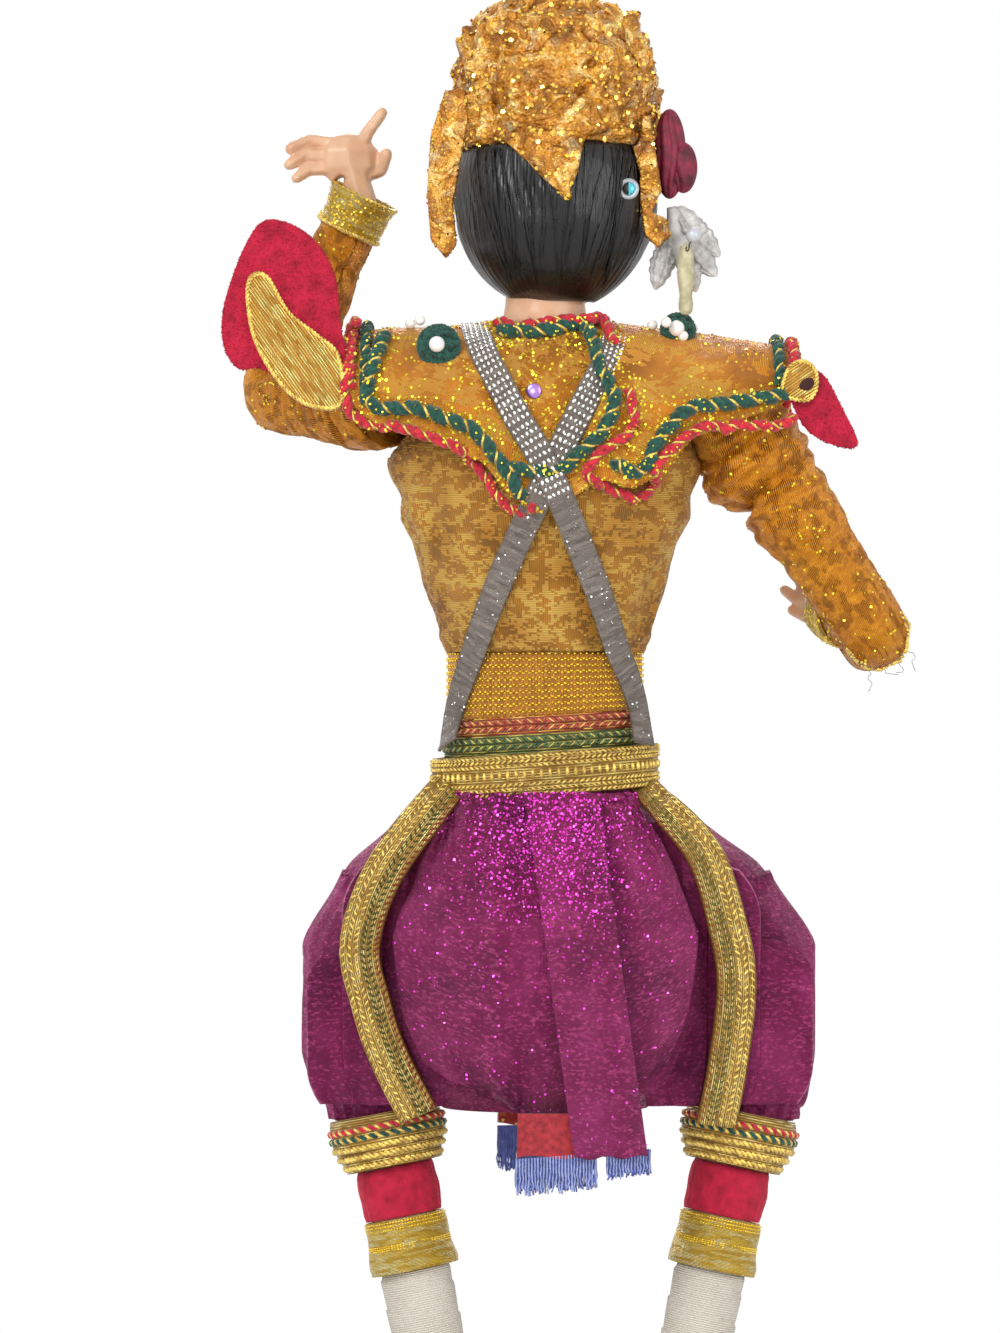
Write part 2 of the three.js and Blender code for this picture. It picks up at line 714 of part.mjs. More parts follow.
function jacketGeometry() {
  const rings = jacketRows.map(([z, halfWidth, halfDepth]) => {
    const ring = [];
    for (let j = 0; j < trunkSides; j += 1) {
      const angle = (j / trunkSides) * 2 * Math.PI;
      ring.push(new THREE.Vector3(halfWidth * Math.cos(angle), halfDepth * Math.sin(angle), z));
    }
    return ring;
  });
  const sockets = [shoulderLeft, shoulderRight].map((centre) => {
    const radius = sleeveShoulderRadius + 1.3 + gap;
    return ellipsoid(centre, ballRadii(radius), 14, 10);
  });
  return cut(ringSolid(rings), [spineHole, ...sockets]);
}

function neckGeometry() {
  const profile = [
    [0, 0], [neckRadius, 0], [neckRadius - 0.5, 3], [neckRadius - 0.7, neckHeight], [0, neckHeight],
  ];
  return cut(turned(profile, 20).translate(0, 0, neckZ + gap), [spineHole]);
}

add('jacket_body', jacketGeometry(), finishes.brocade);
add('neck', neckGeometry(), finishes.flesh);

// Cape. Rows: x, height of the hem, height of the shoulder line, half depth.
const capeRows = [
  [capeReach.right, 225.4, 236.4, 11.4], [-33, 223.8, 237.8, capeShoulderDepth], [-24.7, 221, 239, 15],
  [-19, 214.5, 239.8, 16], [-14, 212.4, 240.4, 16.6], [-9.5, 213.8, 241, 16.8], [-3, 210.4, 241.6, 16.8],
  [1.7, 208.2, 241.6, 16.8], [5.1, 210.6, 241.4, 16.8], [11, 217, 240.8, 16.6], [18, 220.4, 240, 15.8],
  [26, 221.8, 239.6, 14], [capeReach.left, 223.2, 239, capeShoulderDepth],
];
const cordRadius = 0.85;
const shoulderSwing = [-18, -9, 0, 9, 18];
const crosswise = new THREE.Vector3(1, 0, 0);

function capePoint(x, v) {
  const angle = (v - 0.5) * Math.PI;
  const hem = between(capeRows, x, 1);
  const rise = Math.max(0, Math.cos(angle)) ** 0.8 * (between(capeRows, x, 2) - hem);
  return new THREE.Vector3(x, between(capeRows, x, 3) * Math.sin(angle), hem + rise);
}

function capeNormal(x, v) {
  const step = 0.01;
  const alongX = capePoint(x + step, v).sub(capePoint(x - step, v));
  const alongV = capePoint(x, v + step).sub(capePoint(x, v - step));
  return alongX.cross(alongV).normalize();
}

function capeAt(x, v, standOff) {
  return capePoint(x, v).addScaledVector(capeNormal(x, v), standOff);
}

// A round cord laid in a closed loop along the cape's edge
function edgeCord(inset) {
  const route = [];
  const reach = capeReach.left - capeReach.right - 2 * inset;
  const standOff = clothThickness / 2 + 2 * gap + cordRadius;
  const edge = 0.012 * inset;
  const steps = 17;
  for (let i = 0; i <= steps; i += 1) {
    route.push(capeAt(capeReach.left - inset - (reach * i) / steps, 1 - edge, standOff));
  }
  [0.75, 0.5, 0.25].forEach((v) => route.push(capeAt(capeReach.right + inset, v, standOff)));
  for (let i = 0; i <= steps; i += 1) {
    route.push(capeAt(capeReach.right + inset + (reach * i) / steps, edge, standOff));
  }
  [0.25, 0.5, 0.75].forEach((v) => route.push(capeAt(capeReach.left - inset, v, standOff)));
  return closedTube(route, cordRadius, 4);
}

function closedTube(route, radius, sides) {
  const path = new THREE.CatmullRomCurve3(route, true);
  const steps = route.length;
  const frames = path.computeFrenetFrames(steps, true);
  const rings = [];
  for (let i = 0; i < steps; i += 1) {
    const centre = path.getPointAt(i / steps);
    const ring = [];
    for (let j = 0; j < sides; j += 1) {
      const angle = (j / sides) * 2 * Math.PI;
      const point = centre.clone().addScaledVector(frames.normals[i], radius * Math.cos(angle));
      ring.push(point.addScaledVector(frames.binormals[i], radius * Math.sin(angle)));
    }
    rings.push(ring);
  }
  return ringSolid(rings, true);
}

// Sleeves: turned forms with a ball at each joint. Rows: share of the length, radius.
function sleeveProfile(length, startRadius, rows, endRadius, steps = 3) {
  const points = [];
  for (let i = 0; i <= steps; i += 1) {
    const angle = (i / steps) * (Math.PI / 2);
    points.push([startRadius * Math.sin(angle), -startRadius * Math.cos(angle)]);
  }
  rows.forEach(([share, radius]) => points.push([radius, share * length]));
  for (let i = steps; i >= 0; i -= 1) {
    const angle = (i / steps) * (Math.PI / 2);
    points.push([endRadius * Math.sin(angle), length + endRadius * Math.cos(angle)]);
  }
  points[0][0] = 0;
  points[points.length - 1][0] = 0;
  return points;
}

const upperRows = {
  left: [[0.25, 7.7], [0.5, 7.2], [0.8, 6.6]],
  right: [[0.14, 8.3], [0.26, 8.9], [0.36, 7.7], [0.48, 8.2], [0.58, 7.1], [0.8, 6.3]],
};
const joints = {
  left: { shoulder: shoulderLeft, elbow: elbowLeft, wrist: wristLeft },
  right: { shoulder: shoulderRight, elbow: elbowRight, wrist: wristRight },
};

function upperSleeve(side) {
  const { shoulder, elbow } = joints[side];
  const length = shoulder.distanceTo(elbow);
  const profile = sleeveProfile(length, sleeveShoulderRadius, upperRows[side], sleeveElbowRadius);
  return setAlong(turned(profile, 14), shoulder, elbow);
}

// The elbow folds about the line square to both halves of the arm
function elbowAxis(side) {
  const { shoulder, elbow, wrist } = joints[side];
  return elbow.clone().sub(shoulder).cross(wrist.clone().sub(elbow)).normalize();
}

const wristPivotReach = 1.5;

function wristPivot(side) {
  const { elbow, wrist } = joints[side];
  return towards(elbow, wrist, elbow.distanceTo(wrist) + wristPivotReach);
}

function foreSleeve(side) {
  const { elbow, wrist } = joints[side];
  const length = elbow.distanceTo(wrist);
  const start = 3;
  const end = length - 0.6;
  const profile = [
    [0, start], [4.4, start], [5.8, start + 3], [6.3, 0.42 * length], [5.7, 0.66 * length],
    [sleeveWristRadius, length - cuffHeight / 2 - 0.5], [sleeveWristRadius, end], [0, end],
  ];
  const sleeve = setAlong(turned(profile, 14), elbow, wrist);
  const ball = ellipsoid(wristPivot(side), ballRadii(wristRadius + gap), 10, 6);
  return cut(sleeve, [ball, ...sweptNeighbour(upperSleeve(side), elbow, elbowAxis(side), elbowSwing)]);
}

function ballRadii(radius) {
  return new THREE.Vector3(radius, radius, radius);
}

function cuffGeometry(side) {
  const { elbow, wrist } = joints[side];
  const length = elbow.distanceTo(wrist);
  const inner = sleeveWristRadius + gap;
  const low = length - cuffHeight / 2;
  const high = low + cuffHeight;
  const profile = [
    [inner, low], [cuffRadius - 0.2, low], [cuffRadius, low + 0.8], [cuffRadius - 0.25, length],
    [cuffRadius, high - 0.8], [cuffRadius - 0.2, high], [inner, high],
  ];
  return setAlong(hollowTurned(profile, 16), elbow, wrist);
}

// The hand nods about a line square to the forearm
function wristAxis(side) {
  const { elbow, wrist } = joints[side];
  return wrist.clone().sub(elbow).cross(new THREE.Vector3(0, 1, 0)).normalize();
}

// Hands. Each finger: base, bend and tip, from the wrist's pivot, and its radius.
const handForms = {
  left: {
    palm: [[2.2, -0.4, 7.8], [5.6, 2.9, 4.8]],
    fingers: [
      [[0.5, 0, 9.5], [-1.2, 0, 12.6], [-3.6, 0.4, 15.8], 1.45],
      [[4, -0.4, 10.4], [8.6, -0.8, 11.2], [12.2, 0.4, 9.6], 1.5],
      [[5.4, -0.2, 8.4], [9.8, -0.4, 8.6], [12.4, 0.8, 6.8], 1.5],
      [[5, 0, 6.2], [9, 0, 6], [11.2, 1.4, 4.4], 1.35],
      [[-0.6, -0.6, 5.2], [-3.4, -0.8, 6], [-4.4, 0.2, 8.6], 1.55],
    ],
  },
  right: {
    palm: [[2.6, -4.6, 2.6], [3.6, 4.6, 4.6]],
    fingers: [
      [[4, -7.4, 4.4], [6.4, -9.8, 7.4], [6.6, -9.4, 11.4], 1.45],
      [[3.4, -8, 3.2], [6, -11.6, 4.6], [6.8, -12.8, 8.4], 1.45],
      [[3, -8, 1.4], [6.4, -11, 1.8], [9, -12, 3.8], 1.4],
      [[2.6, -7.4, -0.4], [5.2, -10.2, -1.2], [7.8, -11.4, 0.2], 1.25],
      [[4, -3, 4.6], [6.6, -3.4, 6.6], [8, -5.2, 8.8], 1.55],
    ],
  },
};

function capsule(from, to, radius, sides = 5, roundness = 2) {
  const profile = sleeveProfile(from.distanceTo(to), radius, [], radius * 0.92, roundness);
  return setAlong(turned(profile, sides), from, to);
}

function handGeometry(side) {
  const pivot = wristPivot(side);
  const at = (offset) => new THREE.Vector3(...offset).add(pivot);
  const { palm, fingers } = handForms[side];
  const palmCentre = at(palm[0]);
  const pieces = [
    ellipsoid(palmCentre, new THREE.Vector3(...palm[1]), 8, 5),
    capsule(pivot, palmCentre, wristRadius, 8),
  ];
  fingers.forEach(([base, bend, tip, radius]) => {
    pieces.push(capsule(at(base), at(bend), radius, 5, 1));
    pieces.push(capsule(at(bend), at(tip), 0.9 * radius));
  });
  return cut(join(pieces), sweptNeighbour(cuffGeometry(side), pivot, wristAxis(side), wristSwing));
}

const jacket = jacketGeometry();
const sleeves = { left: upperSleeve('left'), right: upperSleeve('right') };
const capeSheet = sheetSolid((u, v) => {
  const x = THREE.MathUtils.lerp(capeReach.right, capeReach.left, u);
  return capePoint(x, v);
}, 20, 8, clothThickness);
const neckHoleRadius = neckRadius + 1.4;
const neckHole = new THREE.CylinderGeometry(neckHoleRadius, neckHoleRadius, 30, 16);
neckHole.rotateX(Math.PI / 2).translate(0, 0, neckZ);
const cape = cut(capeSheet, [
  grown(jacket, gap), neckHole, grown(sleeves.left, gap + 0.2),
  ...sweptNeighbour(sleeves.right, shoulderRight, crosswise, shoulderSwing),
]);
add('cape', cape, finishes.brocade);
const redCord = edgeCord(1.2);
const cordNeighbours = [grown(capeSheet, gap), grown(sleeves.left, gap + 0.2)];
add('red_edge_cord', cut(redCord, cordNeighbours), finishes.redYarn);
add('green_edge_cord', cut(edgeCord(4), [...cordNeighbours, grown(redCord, gap)]), finishes.greenYarn);
['left', 'right'].forEach((side) => {
  add(`upper_sleeve_${side}`, sleeves[side], finishes.brocade);
  add(`fore_sleeve_${side}`, foreSleeve(side), finishes.brocade);
  add(`wrist_cuff_${side}`, cuffGeometry(side), finishes.goldCloth);
  add(`hand_${side}`, handGeometry(side), finishes.flesh);
});

// Head: stacked rings with a drawn-in jaw, a flatter face and a small nose
const headSides = 18;
const faceFlatness = 0.94;
const noseHeight = 2.1;

function headGeometry() {
  const levels = [-1, -0.93, -0.76, -0.54, -0.34, -0.18, 0, 0.2, 0.45, 0.7, 0.88, 0.97];
  const rings = levels.map((level) => {
    const girth = Math.sqrt(Math.max(0.012, 1 - level * level));
    const jaw = 1 - 0.16 * THREE.MathUtils.smoothstep(-level, 0.2, 1);
    const ring = [];
    for (let j = 0; j < headSides; j += 1) {
      const angle = (j / headSides) * 2 * Math.PI;
      const x = headHalfWidth * girth * jaw * Math.cos(angle);
      const ridge = Math.exp(-((x / 1.9) ** 2) - ((level + 0.22) / 0.15) ** 2);
      const depth = headHalfDepth * girth * Math.sin(angle);
      const y = Math.sin(angle) < 0 ? faceFlatness * depth - noseHeight * ridge : depth;
      ring.push(new THREE.Vector3(x, y, level * headHalfHeight).add(headCentre));
    }
    return ring;
  });
  return ringSolid(rings);
}

function headShell(standOff, across = 18, down = 11) {
  const radii = new THREE.Vector3(headHalfWidth, headHalfDepth, headHalfHeight).addScalar(standOff);
  return ellipsoid(headCentre, radii, across, down);
}

function block(low, high) {
  const size = new THREE.Vector3(...high).sub(new THREE.Vector3(...low));
  const middle = new THREE.Vector3(...low).add(new THREE.Vector3(...high)).multiplyScalar(0.5);
  return new THREE.BoxGeometry(size.x, size.y, size.z).translate(middle.x, middle.y, middle.z);
}

// Headdress dome. Rows: height over the rim, half width; the depth keeps its share.
const domeRows = [
  [0, 0.96], [3, 0.995], [8, 1], [13, 0.97], [18, 0.9], [21.5, 0.8], [24, 0.6], [headdressRise, 0.4],
];
const domeDepthShare = 1.06;
const napePoint = { left: 10, right: -5.2, tip: -1.8, drop: 10.2 };

function domeBody() {
  const rings = domeRows.map(([rise, share]) => {
    const ring = [];
    for (let j = 0; j < headSides; j += 1) {
      const angle = (j / headSides) * 2 * Math.PI;
      const radius = headdressHalfWidth * share;
      const y = headCentre.y + radius * domeDepthShare * Math.sin(angle);
      ring.push(new THREE.Vector3(headCentre.x + radius * Math.cos(angle), y, rimZ + rise));
    }
    return ring;
  });
  return ringSolid(rings);
}

function domeGeometry(headSolid) {
  const { left, right, tip, drop } = napePoint;
  const outline = [
    [headCentre.x + right, rimZ + 2], [headCentre.x + right, rimZ - 1], [headCentre.x + tip, rimZ - drop],
    [headCentre.x + left, rimZ - 1], [headCentre.x + left, rimZ + 2],
  ];
  const prism = extruded(outline, 30).translate(0, 30, 0);
  const point = cut(common(prism, headShell(hairThickness + 2)), [headShell(hairThickness + gap + 0.3)]);
  return cut(join([domeBody(), point]), [grown(headSolid, gap)]);
}

// Hair round the back and the sides of the head, open at the face
function hairGeometry(headSolid, domeSolid) {
  const { x, y, z } = headCentre;
  const far = 40;
  const low = z - 0.93 * headHalfHeight;
  const opening = [
    block([x - 12.4, y - far, low - far], [x + 12.4, y - 5, z + far]),
    block([x - far, y - far, low - far], [x + far, y + far, low]),
    block([x - far, y - far, rimZ - gap], [x + far, y + far, rimZ + far]),
    block([x - far, y - far, low - far], [x + far, y - 2, z - 7]),
  ];
  const inside = [grown(headSolid, gap), neckRelief, grown(domeSolid, gap)];
  return cut(headShell(hairThickness), [...opening, ...inside]);
}

// Spire: stacked turned tiers that end in a bud
function spireGeometry() {
  const tiers = 5;
  const profile = [[0, 0]];
  let height = 0;
  for (let i = 0; i < tiers; i += 1) {
    const radius = spireRadius * (1 - 0.17 * i);
    const step = spireHeight * (0.13 - 0.012 * i);
    profile.push([radius * 0.9, height], [radius, height + 0.3 * step], [radius * 0.78, height + step]);
    height += step;
  }
  profile.push([1.5, height + 0.1 * spireHeight], [0.9, spireHeight * 0.8], [1.5, spireHeight * 0.88]);
  profile.push([0.8, spireHeight * 0.95], [0, spireHeight]);
  return turned(profile, 12).translate(headCentre.x, headCentre.y, rimZ + headdressRise + 0.2);
}

// Ear guards. Outlines: x from the head's centre, height from the rim.
const guardThickness = 1.6;
const guardBack = 10.4;
const guardOutlines = {
  left: [
    [15.4, 9.6], [18.6, 9], [21, 1.6], [21.6, -8], [21, -16], [18.4, -19.2], [16.6, -16.8],
    [17.2, -9.6], [15.6, -1], [14.6, 5],
  ],
  right: [
    [-12.8, 4.6], [-15.8, 5], [-17.2, -4], [-17.8, -7.6], [-16, -11.4], [-18.6, -12.4],
    [-19.3, -15.4], [-17.2, -17.4], [-15, -15.4], [-13.8, -8], [-12.4, -2],
  ],
};

function guardGeometry(side, neighbours) {
  const outline = guardOutlines[side].map(([x, rise]) => [headCentre.x + x, rimZ + rise]);
  return cut(extruded(outline, guardThickness).translate(0, guardBack, 0), neighbours);
}

// Flower tassel behind the right ear: it hangs from the flower by a thread
const tasselPivot = new THREE.Vector3(-21.4, 4.6, 262);
const bloomRadii = new THREE.Vector3(2.6, 3, 7.6);
const calyxRadii = new THREE.Vector3(2.2, 2.4, 4.2);
const stemLength = 18.2;

function earFlower() {
  const bloom = ellipsoid(tasselPivot, bloomRadii, 9, 7).translate(0.4, 0, 7.4);
  const calyx = ellipsoid(tasselPivot, calyxRadii, 7, 5).translate(-1.9, 0.6, 5);
  return join([bloom, calyx]);
}

function petal(x, rise, lean, length, width) {
  const blade = ellipsoid(new THREE.Vector3(), new THREE.Vector3(width, 1.2, length / 2), 6, 5);
  blade.translate(0, 0, -length / 2).rotateY(THREE.MathUtils.degToRad(lean));
  return blade.translate(tasselPivot.x + x, tasselPivot.y, tasselPivot.z + rise);
}

function tasselPetals() {
  const top = tasselPivot.clone().add(new THREE.Vector3(0, 0, -1.6));
  const end = tasselPivot.clone().add(new THREE.Vector3(-1.8, 0, -12));
  return join([
    capsule(top, end, 1.5, 8),
    petal(-1, -1.4, 34, 10, 1.7), petal(-1.4, -3.4, 46, 9.4, 1.8), petal(-1.4, -6, 40, 9.6, 1.9),
    petal(0, -3.4, -8, 10.6, 1.7), petal(0.4, -7, -16, 9, 1.7), petal(-1.6, -9, 20, 7.4, 1.6),
  ]);
}

function tasselBud(petals) {
  const profile = [
    [0, -stemLength - 2], [1, -stemLength - 1.5], [1.15, -stemLength], [0.8, -stemLength + 1.2],
    [1.45, -14], [1.3, -10], [0, -8],
  ];
  const bud = turned(profile, 10).translate(tasselPivot.x - 2.2, tasselPivot.y + 3.4, tasselPivot.z);
  return cut(bud, [grown(petals, gap)]);
}

const neckRelief = new THREE.CylinderGeometry(neckRadius + gap, neckRadius + gap, neckHeight + 2 * gap, 20);
neckRelief.rotateX(Math.PI / 2).translate(0, 0, neckZ + gap + neckHeight / 2);
const headSolid = headGeometry();
const dome = domeGeometry(headSolid);
const hair = hairGeometry(headSolid, dome);
const guardNeighbours = [grown(hair, gap), grown(dome, gap), grown(headSolid, gap)];
const petals = tasselPetals();
add('head', cut(headSolid, [neckRelief, spineHole]), finishes.flesh);
add('hair_cap', hair, finishes.hair);
add('headdress_dome', dome, finishes.goldRelief);
add('headdress_spire', spireGeometry(), finishes.goldRelief);
['left', 'right'].forEach((side) => {
  add(`ear_guard_${side}`, guardGeometry(side, guardNeighbours), finishes.goldRelief);
});
add('ear_flower', cut(earFlower(), [...guardNeighbours, grown(petals, gap)]), finishes.flower);
add('tassel_petals', petals, finishes.petal);
add('tassel_bud', tasselBud(petals), finishes.bud);

// Silver braid sashes. Each runs from the waist's side up the back, over the shoulder and down the front.
const sashWidth = 4.8;
const sashThickness = 0.8;
const sashClearance = 2.8 * gap;
const sashCrossing = { x: -0.4, z: chestZ - 4.1 };
const sashWaist = { outX: 16.6, z: greenZ + 1.8 };
const sashShoulder = { outX: 12.2, z: shoulderZ + 6.8, y: 9.5 };
const sightStart = { back: neckZ / 4, above: 1.25 * neckZ };

// The outermost point that a strip of the sash's width meets along a line of sight
function restingPoint(from, direction, layers) {
  const across = Math.abs(direction.z) > 0.5 ? [0, sashWidth / 2] : [sashWidth / 2, 0];
  const hits = [-1.1, -0.5, 0, 0.5, 1.1].map((share) => {
    const start = from.clone().add(new THREE.Vector3(share * across[0], share * across[1], 0));
    return new THREE.Raycaster(start, direction).intersectObjects(layers, false)[0];
  }).filter((hit) => hit !== undefined);
  const nearest = Math.min(...hits.map((hit) => hit.distance));
  const normal = new THREE.Vector3();
  hits.forEach((hit) => normal.add(hit.face.normal));
  normal.normalize();
  const point = from.clone().addScaledVector(direction, nearest);
  return { point: point.addScaledVector(normal, sashThickness / 2 + sashClearance), normal };
}

// The braid bridges a hem that it climbs over: each stop stands out as far as the stops next to it
function bridged(stops, front) {
  const depths = stops.map((stop) => front * stop.point.y);
  const climb = 0.7;
  stops.forEach((stop, i) => {
    const ahead = Math.max(depths[i - 1] ?? 0, depths[i + 1] ?? 0);
    if (ahead > depths[i] + climb) stop.point.setY(front * ahead);
  });
  return stops;
}

function sashRoute(startSign, layers) {
  const corners = [
    [-startSign * sashWaist.outX, sashWaist.z], [sashCrossing.x, sashCrossing.z],
    [startSign * sashShoulder.outX, sashShoulder.z],
  ];
  const half = (front) => {
    const points = [];
    const steps = [10, 8];
    steps.forEach((count, leg) => {
      for (let i = leg; i <= count; i += 1) {
        const x = THREE.MathUtils.lerp(corners[leg][0], corners[leg + 1][0], i / count);
        const z = THREE.MathUtils.lerp(corners[leg][1], corners[leg + 1][1], i / count);
        const from = new THREE.Vector3(x, front * sightStart.back, z);
        points.push(restingPoint(from, new THREE.Vector3(0, -front, 0), layers));
      }
    });
    return bridged(points, front);
  };
  const crest = [1, 0.5, 0, -0.5, -1].map((share) => {
    const { outX, y } = sashShoulder;
    const from = new THREE.Vector3(startSign * outX, share * y, sightStart.above);
    return restingPoint(from, new THREE.Vector3(0, 0, -1), layers);
  });
  return [...half(1), ...crest, ...half(-1).reverse()];
}

function sashGeometry(startSign, layers) {
  const stops = sashRoute(startSign, layers);
  const path = new THREE.CatmullRomCurve3(stops.map((stop) => stop.point));
  const facing = new THREE.CatmullRomCurve3(stops.map((stop) => stop.normal));
  const place = (u, v) => {
    const t = THREE.MathUtils.clamp(v, 0, 1);
    const point = path.getPoint(t);
    const along = path.getTangent(t);
    const across = along.clone().cross(facing.getPoint(t)).normalize();
    return point.addScaledVector(across, (u - 0.5) * sashWidth).addScaledVector(along, v - t);
  };
  return sheetSolid(place, 1, stops.length - 1, sashThickness);
}

// Shoulder wings: stiff velvet leaves with a gold ribbon face. Outlines: x and height over the cape.
const wingThickness = 1.2;
const wingBaseZ = shoulderZ + 4.4;
const wingForms = {
  left: {
    y: 13.6,
    leaf: [
      [33.6, 1.6], [34.4, 9.6], [35.6, 18], [40, 24.2], [46.4, 26.4], [50, 22.6], [53.6, 13], [54, 6],
      [51.6, 1.6], [47.6, 1.6], [43, -1.4], [38, -2.6],
    ],
    ribbon: [
      [34, -4.8], [34.4, 3.4], [38, 7], [43, 11], [47, 17.4], [50, 15.8], [49, 7], [45, -0.4],
      [40, -4.8],
    ],
  },
  right: {
    y: 12.2,
    leaf: [
      [-40.6, 1.4], [-42.6, 4.6], [-46.4, 3.6], [-49.4, -1.6], [-52.2, -8], [-48.4, -8.2],
      [-43.4, -5.2],
    ],
    ribbon: [[-38.4, 0.4], [-39.8, 6.2], [-43.2, 7.8], [-46, 5.4], [-46, 1], [-43.6, -1.4]],
  },
};

function wingPlate(outline, y, thickness, neighbours) {
  const raised = outline.map(([x, rise]) => [x, wingBaseZ + rise]);
  return cut(extruded(raised, thickness).translate(0, y, 0), neighbours);
}

const cords = [grown(redCord, gap), grown(edgeCord(4), gap), grown(capeSheet, gap)];
const sashLayers = doll.children.filter((mesh) => /^(cape|neck|jacket|waist|red|green)/.test(mesh.name));
const underSash = sashLayers.map((mesh) => grown(mesh.geometry, gap / 2));
const sashRight = add('sash_right', cut(sashGeometry(-1, sashLayers), underSash), finishes.silver);
const overBoth = [...underSash, grown(sashRight.geometry, gap / 2)];
add('sash_left', cut(sashGeometry(1, [...sashLayers, sashRight]), overBoth), finishes.silver);
['left', 'right'].forEach((side) => {
  const form = wingForms[side];
  const leaf = wingPlate(form.leaf, form.y, wingThickness, [...cords, grown(sleeves[side], gap)]);
  add(`wing_${side}`, leaf, finishes.velvet);
  const ribbon = wingPlate(form.ribbon, form.y + wingThickness + gap, wingThickness, cords);
  add(`wing_ribbon_${side}`, ribbon, finishes.goldCloth);
});

export default doll;
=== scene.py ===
import json
import math

import bmesh
import bpy
import numpy as np
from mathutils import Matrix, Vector
from mathutils.bvhtree import BVHTree

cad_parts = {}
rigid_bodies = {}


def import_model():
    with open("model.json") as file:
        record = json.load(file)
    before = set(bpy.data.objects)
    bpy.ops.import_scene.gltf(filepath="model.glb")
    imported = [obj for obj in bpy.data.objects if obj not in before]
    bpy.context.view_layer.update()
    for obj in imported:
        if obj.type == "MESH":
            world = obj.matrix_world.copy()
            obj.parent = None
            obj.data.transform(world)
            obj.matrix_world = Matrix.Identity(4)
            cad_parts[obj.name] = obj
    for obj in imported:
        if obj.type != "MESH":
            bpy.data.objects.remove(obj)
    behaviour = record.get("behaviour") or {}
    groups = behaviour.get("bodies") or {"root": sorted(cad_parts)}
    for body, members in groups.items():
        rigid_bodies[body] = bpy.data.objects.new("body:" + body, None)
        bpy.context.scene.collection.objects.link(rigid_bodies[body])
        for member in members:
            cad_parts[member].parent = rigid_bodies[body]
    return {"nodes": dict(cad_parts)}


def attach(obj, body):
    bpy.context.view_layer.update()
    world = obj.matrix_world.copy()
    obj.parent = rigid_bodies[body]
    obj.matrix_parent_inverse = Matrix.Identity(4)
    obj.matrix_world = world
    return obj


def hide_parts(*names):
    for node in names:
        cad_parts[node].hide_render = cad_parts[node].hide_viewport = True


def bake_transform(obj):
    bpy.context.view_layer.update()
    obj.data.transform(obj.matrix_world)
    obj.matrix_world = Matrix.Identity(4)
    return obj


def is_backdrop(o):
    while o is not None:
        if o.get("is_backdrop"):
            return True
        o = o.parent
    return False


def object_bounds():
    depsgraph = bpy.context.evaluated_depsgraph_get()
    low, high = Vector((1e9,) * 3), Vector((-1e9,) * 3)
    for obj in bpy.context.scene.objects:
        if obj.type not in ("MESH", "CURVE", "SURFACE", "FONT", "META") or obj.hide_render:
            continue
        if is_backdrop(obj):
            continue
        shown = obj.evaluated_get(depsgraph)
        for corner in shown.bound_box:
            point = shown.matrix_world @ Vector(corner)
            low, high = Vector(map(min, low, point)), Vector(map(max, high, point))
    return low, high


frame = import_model()
cad_low, cad_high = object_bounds()
MM = 0.001
TURN = 2 * math.pi
UP = np.array([0.0, 0.0, 1.0])

# The camera looks at the doll's back, straight and level
VIEW_CENTRE = Vector((7.65, 0, 182.8)) * MM
VIEW_HEIGHT = 226.6 * MM
VIEW_DISTANCE = 0.75


def set_camera():
    data = bpy.data.cameras.new("camera")
    data.sensor_fit = "VERTICAL"
    data.sensor_height = 24
    data.lens = data.sensor_height * VIEW_DISTANCE / VIEW_HEIGHT
    data.clip_start, data.clip_end = 0.01, 20
    camera = bpy.data.objects.new("camera", data)
    camera.location = VIEW_CENTRE + Vector((0, VIEW_DISTANCE, 0))
    camera.rotation_euler = (math.pi / 2, 0, math.pi)
    bpy.context.scene.collection.objects.link(camera)
    bpy.context.scene.camera = camera


set_camera()


# The pixel of the photograph that lies on the doll's own origin, and a pixel's size in millimetres
ORIGIN_PX, ORIGIN_PY = 545, 1742
PIXEL = 0.17


def at_pixel(px, py):
    """Where a point of the photograph lies on the doll: x and z in millimetres."""
    return (ORIGIN_PX - px) * PIXEL, (ORIGIN_PY - py) * PIXEL


# Numbers of the figure, as its solids have them
KNEE_Z, BELT_Z = 105.0, 161.2
GREEN_Z, RED_Z, RIBBON_Z, RIBBON_TOP_Z = 168.9, 171.9, 174.9, 184.9
CHEST_Z, SHOULDER_Z, NECK_Z = 218.7, 226.7, 240.2
HEAD = np.array([-1.7, -1.0, 262.6])
HEAD_HALF = np.array([15.9, 17.6, 19.5])
RIM_Z = 270.4
ARMS = {
    "left": [np.array(p, float) for p in ((27.9, 0, 227.6), (48.2, -27, 230.4), (32.6, -22, 262.4))],
    "right": [np.array(p, float) for p in ((-31, 0, 225.6), (-57.2, -2, 187), (-52.8, -29, 192.4))],
}
LEGS = {
    "left": (np.array([10.3, 2, 20.8]), np.array([27.2, -5, 105.0])),
    "right": (np.array([-15.7, 2, 20.8]), np.array([-33.6, -5, 105.0])),
}


# ---- finishes
def paint(code):
    """A hex colour as the linear one that Blender wants."""
    parts = [int(code[i:i + 2], 16) / 255 for i in (0, 2, 4)]
    return tuple(c / 12.92 if c <= 0.04045 else ((c + 0.055) / 1.055) ** 2.4 for c in parts) + (1,)


